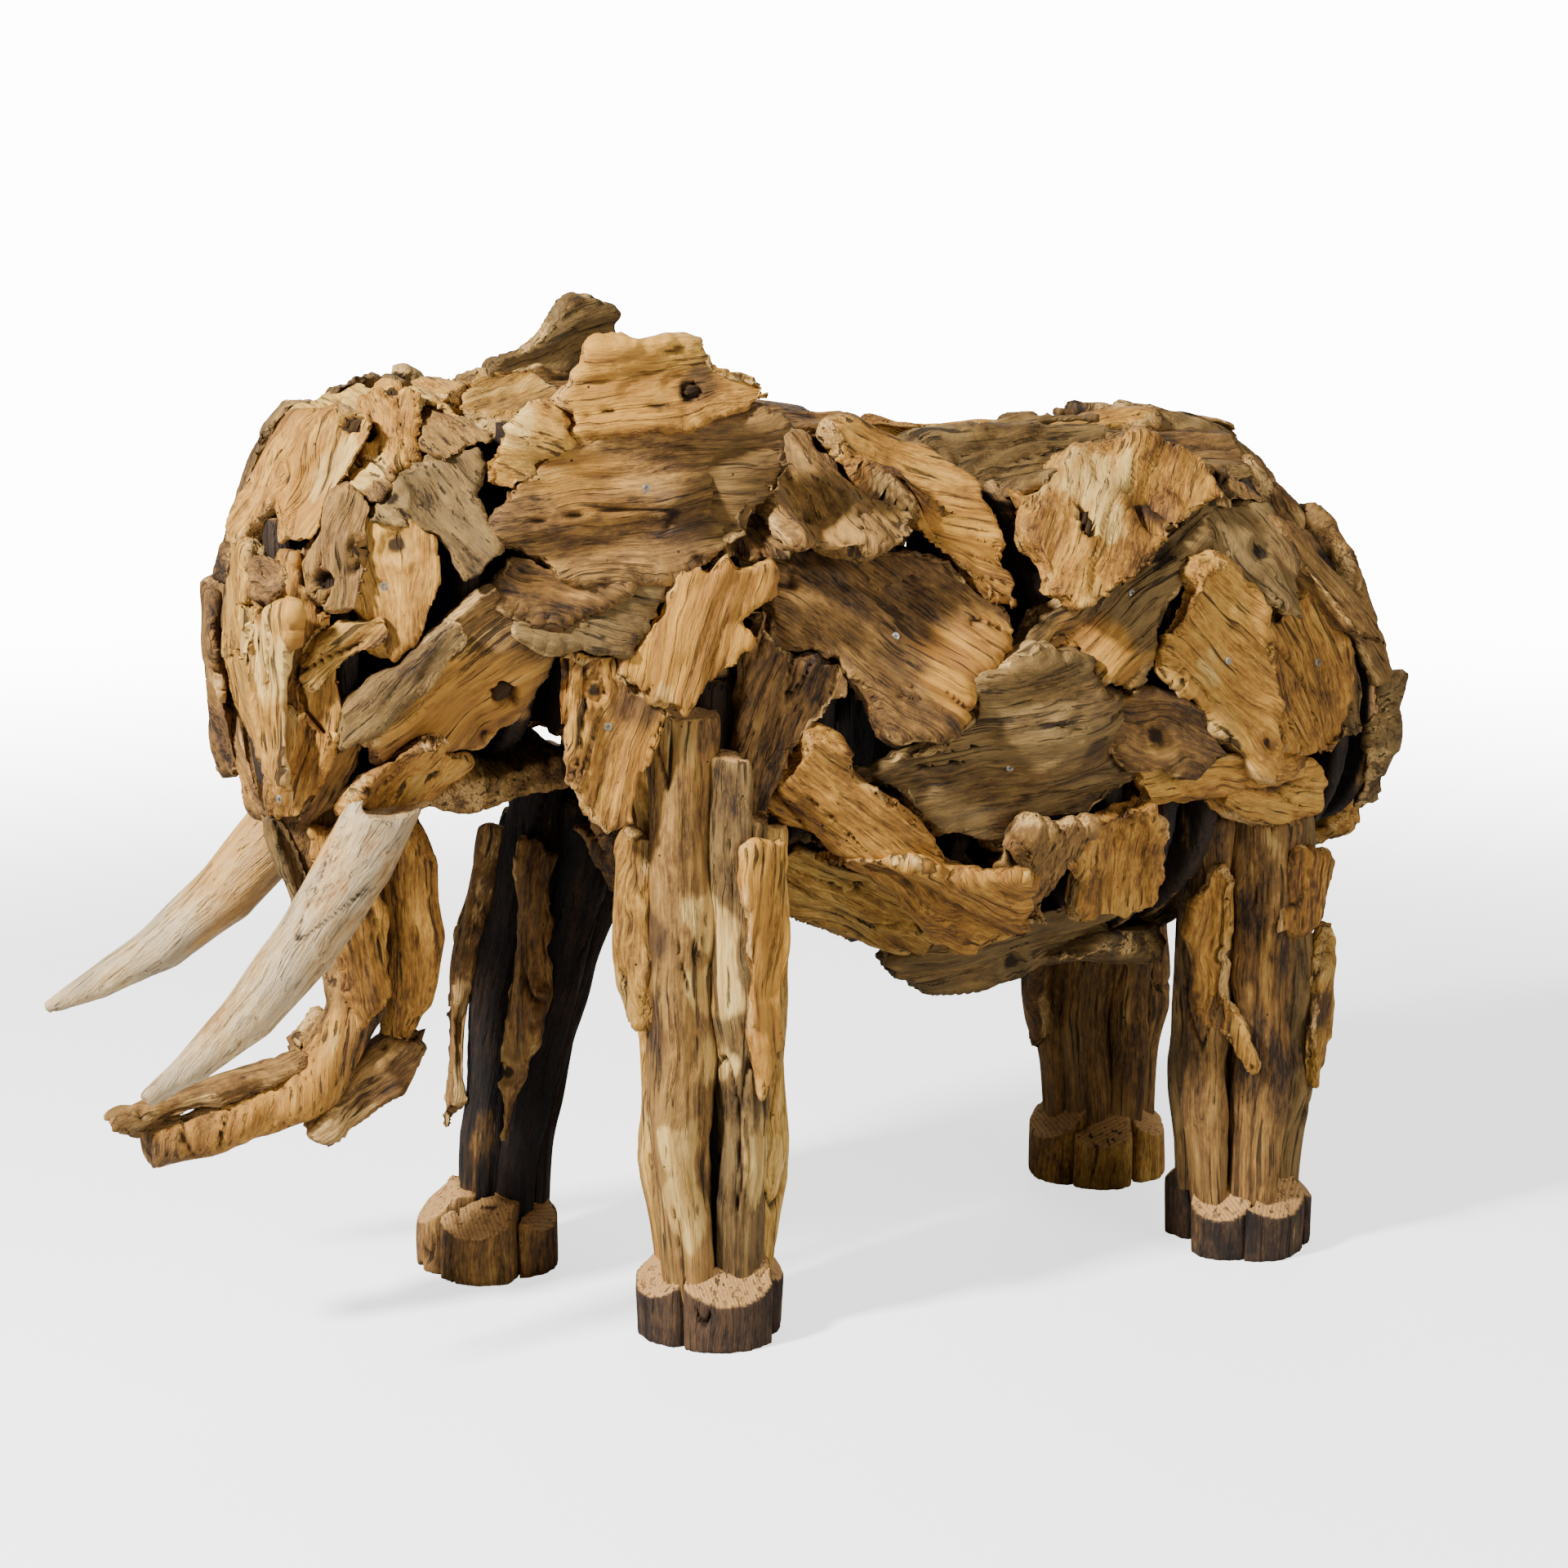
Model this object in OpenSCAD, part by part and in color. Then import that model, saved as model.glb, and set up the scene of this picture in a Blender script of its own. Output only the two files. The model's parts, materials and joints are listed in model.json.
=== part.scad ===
// Free-standing elephant sculpture built up from teak root slabs on an inner timber frame.
// Millimetres. +Z is up, the elephant looks along -Y, its left flank is at +X.
// The floor is z = 0 and the origin is the centre of the footprint box.

/* [Body] */
// Length of the torso, chest to rump
body_l = 1110; // [1000:10:1220]
// Greatest width of the torso inside the slabs
body_w = 610; // [540:10:680]
// Height of the dip in the back above the floor
back_h = 1015; // [920:5:1120]

/* [Head] */
// Length of the head, neck to brow
head_l = 435; // [390:5:480]
// Greatest width of the head inside the slabs
head_w = 390; // [340:5:440]
// Stand-off of the ear sheet from the centre plane at its front edge
ear_x = 175; // [165:5:200]
// How fast the ear sheet flares outwards towards its rear edge
ear_flare = 0.28; // [0.2:0.01:0.36]

/* [Slabs] */
// Thickness of a flank or hip slab
slab_t = 34; // [26:1:42]
// Thickness of an ear slab
ear_t = 26; // [20:1:34]
// Thickness of a head slab
head_t = 28; // [22:1:34]
// Lift of an overlapping slab off the ribs
lap = 12; // [8:1:18]

/* [Legs] */
// Distance between the left and right leg centres
track = 328; // [300:4:360]
// Radius of the hidden leg post
post_r = 28; // [24:1:32]
// Radius of the main leg logs
log_r = 34; // [28:1:38]
// Forward step of the front right foot
step_y = 150; // [110:5:170]
// Height of a toe block
toe_h = 96; // [80:2:110]
// Depth of a toe block measured out from the post
toe_t = 76; // [68:1:84]
// Width of a large toe block
toe_w = 104; // [90:2:112]

/* [Trunk and tusks] */
// Radius of the main trunk log at the face
trunk_r = 38; // [32:1:42]
// Radius of the trunk at its cut tip
trunk_tip_r = 27; // [22:1:30]
// Radius of a tusk at the socket
tusk_r = 40; // [34:1:44]
// Radius of a tusk near its tip
tusk_tip_r = 9; // [6:1:12]

/* [Frame] */
// Thickness of a rib
rib_t = 24; // [18:1:28]
// Depth of the rib band
rib_d = 46; // [36:1:60]
// Width of the upright web of a rib
web_w = 90; // [80:2:120]
// Width and height of the spine and cross beams
beam = 60; // [50:2:70]
// Underside of the spine above the floor
spine_z = 710; // [690:5:730]
// Side of an ear cleat
cleat = 40; // [32:1:46]

/* [Fasteners] */
// Shank diameter of a slab screw
screw_d = 6; // [4:0.5:8]
// Head diameter of a slab screw
screw_head_d = 14; // [10:1:18]
// Head height of a slab screw
screw_head_h = 4; // [3:0.5:6]
// Length of a screw below its head
screw_l = 60; // [50:2:70]
// Clearance around a screw shank
fit = 0.2; // [0.1:0.05:0.4]
// Gap between neighbouring slabs, logs or toe blocks of one group
gap = 2; // [1:0.5:4]

/* [Hidden] */
$fn = 48;
// reference sizes the outlines are drawn at
BODY_L0 = 1110;
BODY_W0 = 610;
BACK_H0 = 1015;
HEAD_L0 = 435;
HEAD_W0 = 390;
NECK_Y = -450;
// shift that puts the footprint box on the origin
ORIGIN = [-2, 192, 0];
BIG = 900;
CUT = 90;
NEAR = 330;
// exponent of the body cross-section
ROUND = 2.3;
EPS = 1;

ky = body_l / BODY_L0;
kz = back_h / BACK_H0;
kh = head_l / HEAD_L0;

// torso stations: y, half width, underside, top
TORSO = [
    [-450, 140, 640, 1010], [-350, 225, 560, 1060], [-250, 262, 500, 1055],
    [-100, 285, 425, 1030], [50, 300, 375, 1015], [200, 305, 360, 1035],
    [350, 290, 400, 1030], [450, 262, 445, 960], [550, 215, 480, 860],
    [620, 150, 540, 770], [660, 80, 590, 690]
];
// head stations: y, half width, underside, top
HEAD = [
    [-885, 40, 720, 850], [-850, 90, 640, 970], [-800, 130, 628, 1060],
    [-730, 170, 632, 1095], [-650, 190, 645, 1112], [-600, 195, 650, 1115],
    [-500, 175, 665, 1105], [-430, 140, 690, 1080]
];
// rib stations along the outline scale
TORSO_RIBS = [-360, -250, -160, -70, 20, 110, 190, 255, 360, 465, 530, 590];
HEAD_RIBS = [-510, -580, -650, -715, -775, -830];
NECK_RIB = -440;

// ---- outline scale to built size ----
function map_y(y) = y > NECK_Y ? y * ky : NECK_Y * ky + (y - NECK_Y) * kh;
function map_z(z) = z * kz;
function is_head(y) = y < NECK_Y;
function map_x(x, y) = is_head(y) ? x * head_w / HEAD_W0 : x * body_w / BODY_W0;
function col(t, k) = [for (r = t) [r[0], r[k]]];
T_A = col(TORSO, 1);
T_B = col(TORSO, 2);
T_T = col(TORSO, 3);
H_A = col(HEAD, 1);
H_B = col(HEAD, 2);
H_T = col(HEAD, 3);
// depth of the slab skin outside the ribs
function skin(y) = is_head(y) ? head_t : slab_t;
function half_w(y) = (is_head(y) ? lookup(y, H_A) : lookup(y, T_A)) - skin(y);
function low_z(y) = (is_head(y) ? lookup(y, H_B) : lookup(y, T_B)) + skin(y);
function top_z(y) = (is_head(y) ? lookup(y, H_T) : lookup(y, T_T)) - skin(y);
function mid_z(y) = (low_z(y) + top_z(y)) / 2;
function rad_z(y) = (top_z(y) - low_z(y)) / 2;
function arc(u) = pow(max(0.04, 1 - pow(min(1, abs(u)), ROUND)), 1 / ROUND);

// body surface, on the outline scale: x at (y, z), z at (x, y), y at (x, z)
function side_at(y, z) = half_w(y) * arc((z - mid_z(y)) / rad_z(y));
function top_at(x, y) = mid_z(y) + rad_z(y) * arc(x / half_w(y));
function low_at(x, y) = mid_z(y) - rad_z(y) * arc(x / half_w(y));
function bulge(x, z, c, s) =
    sqrt(max(0.06, 1 - pow(x / s[0], 2) - pow((z - c[1]) / s[2], 2))) * s[1];
RUMP_C = [300, 660];
RUMP_S = [290, 330, 310];
FACE_C = [-600, 840];
FACE_S = [200, 268, 290];
CHEST_C = [-250, 740];
CHEST_S = [240, 205, 300];
function rump_at(x, z) = RUMP_C[0] + bulge(x, z, RUMP_C, RUMP_S) - slab_t;
function face_at(x, z) = FACE_C[0] - bulge(x, z, FACE_C, FACE_S) + head_t;
function chest_at(x, z) = CHEST_C[0] - bulge(x, z, CHEST_C, CHEST_S) + slab_t;
function ear_at(y, z) = ear_x + (y + 600) * ear_flare;

function mean(p, k, i = 0) = i == len(p) ? 0 : p[i][k] / len(p) + mean(p, k, i + 1);

// point on the built body for an outline position of a given kind
function spot(k, a, b) =
    k == "side" ? [map_x(side_at(a, b), a), map_y(a), map_z(b)] :
    k == "ear" ? [ear_at(a, b), map_y(a), map_z(b)] :
    k == "top" ? [map_x(a, b), map_y(b), map_z(top_at(a, b))] :
    k == "low" ? [map_x(a, b), map_y(b), map_z(low_at(a, b))] :
    k == "rump" ? [map_x(a, RUMP_C[0]), map_y(rump_at(a, b)), map_z(b)] :
    k == "face" ? [map_x(a, FACE_C[0]), map_y(face_at(a, b)), map_z(b)] :
    [map_x(a, CHEST_C[0]), map_y(chest_at(a, b)), map_z(b)];
function flip(k) = k == "top" || k == "rump" ? -1 : 1;
// share of a slab's half extent the tangent plane is laid across
SPAN = 0.75;
function reach_of(p, k) = (max([for (q = p) q[k]]) - min([for (q = p) q[k]])) / 2 * SPAN;
function normal(k, a, b, da, db) =
    let (u = spot(k, a + da, b) - spot(k, a - da, b))
    let (v = spot(k, a, b + db) - spot(k, a, b - db))
    let (n = cross(u, v))
    let (s = k == "side" || k == "ear" ? sign(n[0]) : k == "top" ? sign(n[2]) :
        k == "low" ? -sign(n[2]) : k == "rump" ? sign(n[1]) : -sign(n[1]))
    n * s / norm(n);

// ---- slab record: [kind, side, lift, thickness, outline, screw] ----
function ctr(r) = [mean(r[4], 0), mean(r[4], 1)];
function at(r) = let (c = ctr(r)) let (p = spot(r[0], c[0], c[1])) [p[0] * r[1], p[1], p[2]];

// a board never lies steeper than this to the direction it is fixed from
STEEP = 55;
function clamp(v, a, b) = max(a, min(b, v));
function facing(k) = k == "rump" ? 90 : k == "face" || k == "chest" ? -90 : 0;
function yaw_of(k, n) =
    let (a = atan2(n[1], n[0]))
    k == "top" || k == "low" ? a : clamp(a, facing(k) - STEEP, facing(k) + STEEP);
function tilt_of(k, n) =
    let (a = atan2(n[2], norm([n[0], n[1]])))
    k == "top" ? max(a, 90 - STEEP) : k == "low" ? min(a, STEEP - 90) : clamp(a, -STEEP, STEEP);

module face_frame(r) {
    c = ctr(r);
    n = normal(r[0], c[0], c[1], reach_of(r[4], 0), reach_of(r[4], 1));
    translate(spot(r[0], c[0], c[1]))
        rotate([0, 0, yaw_of(r[0], n)])
        rotate([0, -tilt_of(r[0], n), 0])
        children();
}

// outline pushed outwards by g
function grown(p, g) =
    let (c = [mean(p, 0), mean(p, 1)])
    [for (q = p) q + (q - c) * g / norm(q - c)];

END_Y = [RUMP_C[0], FACE_C[0], CHEST_C[0]];
module prism(r, g = 0) {
    k = r[0];
    o = grown(r[4], g);
    if (k == "side" || k == "ear")
        rotate([90, 0, 90])
            linear_extrude(BIG)
            polygon([for (p = o) [map_y(p[0]), map_z(p[1])]]);
    else if (k == "top")
        translate([0, 0, map_z(mid_z(ctr(r)[1]))])
            linear_extrude(BIG)
            polygon([for (p = o) [map_x(p[0], p[1]), map_y(p[1])]]);
    else if (k == "low")
        translate([0, 0, map_z(mid_z(ctr(r)[1])) - BIG])
            linear_extrude(BIG)
            polygon([for (p = o) [map_x(p[0], p[1]), map_y(p[1])]]);
    else
        translate([0, map_y(END_Y[k == "rump" ? 0 : k == "face" ? 1 : 2]) + (k == "rump" ? BIG : 0), 0])
            rotate([90, 0, 0])
            linear_extrude(BIG)
            polygon([for (p = o) [map_x(p[0], k == "face" ? FACE_C[0] : 0), map_z(p[1])]]);
}

module side_of(r) {
    if (r[1] < 0)
        mirror([1, 0, 0]) children();
    else
        children();
}

// the slab as a flat board with the given outline
module raw_slab(r) side_of(r)
    difference() {
        intersection() {
            prism(r);
            face_frame(r) translate([r[2], -BIG / 2, -BIG / 2]) cube([r[3], BIG, BIG]);
        }
        if (r[5])
            face_frame(r)
                translate([r[2] - CUT, 0, 0])
                rotate([0, 90, 0])
                cylinder(d = screw_d + 2 * fit, h = CUT * 2);
    }

// everything outside the inner face of a slab, used to scribe what lies under it
module reach(r, g = 0) side_of(r) {
    intersection() {
        prism(r, g);
        face_frame(r) translate([r[2] - g, -BIG / 2, -BIG / 2]) cube([CUT, BIG, BIG]);
    }
    if (r[5])
        face_frame(r)
            translate([r[2] + r[3] - screw_l - fit, 0, 0])
            rotate([0, 90, 0])
            cylinder(d = screw_d + 2 * fit, h = screw_l);
}

// ---- outlines of the left ear, on the outline scale, [y, z] ----
E_CREST = [
    [-560, 1105], [-530, 1148], [-485, 1155], [-450, 1160], [-418, 1157], [-400, 1135],
    [-358, 1122], [-340, 1092], [-395, 1075], [-450, 1065], [-545, 1045]
];
E_SHEET = [
    [-628, 972], [-610, 1000], [-575, 1035], [-540, 1052], [-485, 1082], [-410, 1095],
    [-358, 1085], [-328, 1060], [-312, 1022], [-320, 982], [-345, 965], [-358, 938],
    [-440, 905], [-540, 895], [-600, 922], [-625, 950]
];
E_FRONT = [
    [-640, 1030], [-620, 1068], [-590, 1100], [-562, 1078], [-556, 1046], [-575, 1030],
    [-610, 995], [-640, 1000]
];
E_STRIP_A = [
    [-636, 897], [-592, 925], [-548, 915], [-535, 902], [-487, 893], [-505, 875],
    [-568, 855], [-595, 867], [-625, 882]
];
E_STRIP_B = [
    [-612, 862], [-600, 872], [-565, 862], [-485, 893], [-440, 900], [-470, 850],
    [-492, 815], [-568, 830], [-603, 840]
];
E_LOBE = [
    [-505, 795], [-497, 850], [-467, 880], [-438, 908], [-376, 910], [-336, 912],
    [-330, 875], [-383, 850], [-358, 828], [-398, 790], [-435, 750], [-487, 770]
];
E_LOWER = [
    [-562, 835], [-545, 832], [-502, 818], [-482, 772], [-432, 770], [-455, 717],
    [-477, 675], [-495, 617], [-520, 617], [-553, 677], [-562, 738]
];
E_CREST_R = [
    [-482, 1080], [-465, 1112], [-430, 1118], [-395, 1138], [-352, 1176], [-316, 1180],
    [-286, 1158], [-268, 1115], [-285, 1060], [-330, 1040], [-400, 1058], [-450, 1062]
];

// ---- outlines of the left side of the head, [y, z] ----
H_FOREHEAD = [
    [-842, 945], [-836, 985], [-824, 1025], [-805, 1055], [-780, 1078], [-740, 1075],
    [-750, 1055], [-778, 1012], [-800, 985], [-822, 945]
];
H_CROWN = [
    [-740, 1075], [-730, 1095], [-700, 1108], [-670, 1100], [-685, 1075], [-700, 1027],
    [-730, 1018], [-748, 1032], [-748, 1058]
];
H_ROUND = [
    [-685, 1072], [-665, 1090], [-645, 1080], [-622, 1050], [-655, 1038], [-680, 1028],
    [-695, 1045]
];
H_BROW = [
    [-762, 968], [-740, 1002], [-708, 1018], [-670, 1034], [-636, 1042], [-640, 1020],
    [-650, 995], [-640, 960], [-628, 935], [-672, 903], [-684, 935], [-697, 955], [-722, 965]
];
H_EYE = [
    [-798, 990], [-775, 1008], [-758, 985], [-768, 965], [-768, 930], [-778, 895],
    [-788, 873], [-804, 876], [-824, 895], [-832, 922], [-808, 955]
];
H_CHEEK = [
    [-768, 968], [-722, 965], [-698, 942], [-693, 905], [-706, 878], [-726, 842],
    [-742, 826], [-757, 842], [-760, 862], [-779, 880], [-768, 930]
];
H_CHIP = [
    [-835, 800], [-812, 838], [-790, 858], [-760, 864], [-756, 842], [-788, 818], [-820, 786]
];
H_EDGE_A = [[-858, 928], [-838, 922], [-840, 890], [-858, 878], [-866, 900]];
H_EDGE_B = [[-876, 810], [-872, 872], [-858, 872], [-856, 850], [-864, 800]];
H_STRIP = [
    [-868, 868], [-846, 876], [-850, 812], [-848, 765], [-850, 700], [-846, 652],
    [-858, 690], [-870, 760], [-874, 815]
];
H_KNOB = [
    [-846, 880], [-832, 928], [-823, 888], [-798, 865], [-806, 840], [-834, 806],
    [-818, 785], [-832, 752], [-850, 785], [-850, 842]
];
H_LOWER = [
    [-850, 752], [-830, 757], [-793, 737], [-796, 708], [-808, 660], [-820, 625],
    [-834, 622], [-846, 655], [-850, 705]
];
H_CHIN = [
    [-817, 620], [-806, 655], [-795, 690], [-776, 717], [-755, 724], [-757, 682],
    [-776, 640], [-800, 612]
];
H_LIP = [
    [-793, 730], [-791, 765], [-750, 798], [-710, 835], [-690, 852], [-683, 835],
    [-703, 800], [-736, 768], [-766, 735], [-788, 725]
];
H_UNDER = [[-832, 785], [-800, 808], [-793, 768], [-789, 735], [-802, 726], [-827, 755]];
H_JAW = [
    [-692, 850], [-655, 890], [-640, 897], [-610, 862], [-575, 832], [-560, 800],
    [-578, 765], [-598, 735], [-640, 703], [-690, 700], [-740, 693], [-770, 712],
    [-735, 768], [-700, 805]
];
H_SOCKET = [
    [-772, 645], [-757, 684], [-712, 724], [-690, 727], [-678, 702], [-648, 692],
    [-648, 655], [-690, 648], [-735, 636]
];
H_PLUG = [[-772, 1005], [-750, 1030], [-728, 1020], [-738, 1000], [-758, 983]];
H_TOP = [[-672, 1098], [-650, 1102], [-628, 1072], [-618, 1050], [-646, 1080]];

// ---- outlines of the left flank and hip, [y, z] ----
S_SADDLE = [
    [-200, 1040], [-150, 1050], [-80, 1020], [-30, 975], [-24, 920], [-36, 858],
    [-75, 868], [-100, 903], [-155, 953], [-202, 1003]
];
S_SHOULDER = [
    [-290, 1045], [-230, 1050], [-203, 1005], [-188, 975], [-160, 948], [-190, 925],
    [-245, 930], [-322, 928], [-322, 990]
];
S_CURL = [
    [-322, 927], [-240, 928], [-165, 918], [-105, 908], [-33, 836], [-43, 808],
    [-103, 765], [-108, 725], [-140, 703], [-197, 708], [-207, 745], [-252, 803], [-327, 808]
];
S_POST = [
    [-357, 790], [-347, 852], [-325, 805], [-262, 792], [-255, 760], [-288, 715],
    [-313, 640], [-332, 612], [-357, 622]
];
S_DIAG = [
    [-290, 707], [-256, 703], [-232, 662], [-190, 638], [-142, 600], [-102, 553],
    [-118, 540], [-165, 558], [-227, 568], [-252, 590], [-315, 610], [-304, 668]
];
S_FLANK = [
    [-33, 795], [42, 790], [62, 720], [122, 637], [97, 610], [38, 588], [-25, 588],
    [-30, 553], [-85, 578], [-143, 603], [-213, 660], [-165, 686], [-97, 715], [-92, 772]
];
S_BAND = [
    [-238, 562], [-165, 560], [-118, 542], [-52, 548], [-18, 490], [12, 440], [-40, 428],
    [-87, 465], [-122, 500], [-167, 528]
];
S_MID = [
    [-25, 590], [52, 592], [47, 533], [34, 503], [57, 455], [35, 443], [5, 448],
    [-17, 490], [-52, 546], [-30, 556]
];
S_GROIN = [
    [60, 600], [130, 612], [167, 552], [180, 485], [150, 458], [105, 456], [80, 478],
    [76, 512], [53, 540]
];
S_RIM = [
    [-302, 548], [-240, 558], [-165, 524], [-120, 495], [-85, 460], [-42, 425],
    [-60, 395], [-130, 413], [-202, 450], [-292, 492]
];
S_KEEL = [
    [-82, 412], [-42, 426], [10, 438], [55, 450], [105, 455], [150, 457], [187, 440],
    [192, 398], [100, 358], [0, 348], [-62, 368]
];
S_HIP_PALE = [
    [15, 967], [90, 990], [145, 1005], [225, 1012], [272, 990], [267, 950], [210, 933],
    [170, 918], [95, 873], [15, 850], [-2, 865], [3, 920]
];
S_HIP_GREY = [
    [255, 952], [242, 895], [202, 870], [164, 822], [140, 773], [105, 743], [55, 770],
    [-42, 790], [-2, 838], [90, 864], [158, 899]
];
S_HIP_GOLD = [
    [195, 874], [240, 882], [292, 842], [302, 800], [317, 752], [320, 698], [302, 645],
    [280, 633], [238, 675], [205, 720], [150, 760], [148, 800], [170, 824]
];
S_KNOT = [
    [60, 730], [100, 735], [147, 734], [199, 714], [237, 657], [190, 653], [105, 658], [86, 690]
];
S_STRIP = [
    [103, 660], [190, 655], [240, 657], [302, 647], [370, 628], [278, 616], [203, 608], [136, 608]
];
S_HIP_EDGE = [
    [243, 930], [262, 943], [347, 938], [364, 878], [344, 806], [300, 828], [262, 866], [240, 893]
];
S_HIP_TRI = [[310, 983], [343, 945], [300, 940], [262, 940], [256, 960]];
S_HIP_REAR = [
    [300, 797], [350, 830], [397, 834], [412, 808], [442, 765], [454, 705], [442, 628],
    [350, 653], [323, 712]
];
S_RUMP_THIN = [
    [350, 937], [388, 920], [427, 870], [482, 805], [494, 768], [432, 797], [397, 848], [364, 903]
];
S_RUMP_EDGE = [[440, 772], [482, 762], [502, 700], [502, 653], [453, 650], [450, 705]];
S_KNEE = [
    [242, 614], [300, 622], [370, 628], [415, 590], [423, 553], [335, 552], [292, 568], [248, 590]
];
S_BACK = [
    [-72, 1024], [30, 1032], [110, 1040], [202, 1042], [217, 1015], [120, 1000],
    [38, 985], [-7, 950], [-24, 920], [-30, 975]
];

S_NECK_TOP = [[-448, 1012], [-328, 1046], [-300, 992], [-326, 930], [-440, 932]];
S_NECK_LOW = [[-444, 924], [-330, 920], [-312, 830], [-322, 700], [-420, 690], [-448, 780]];

// left flank outlines run the other way round on the right flank
FLIP_Y = 145;
function turned(p) = [for (q = p) [FLIP_Y - q[0], q[1]]];

function left(k, h, t, p, s = 0) = [k, 1, h, t, p, s];
function right(k, h, t, p, s = 0) = [k, -1, h, t, p, s];

// crown slabs are let into the ribs by this much
SINK = 12;

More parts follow.
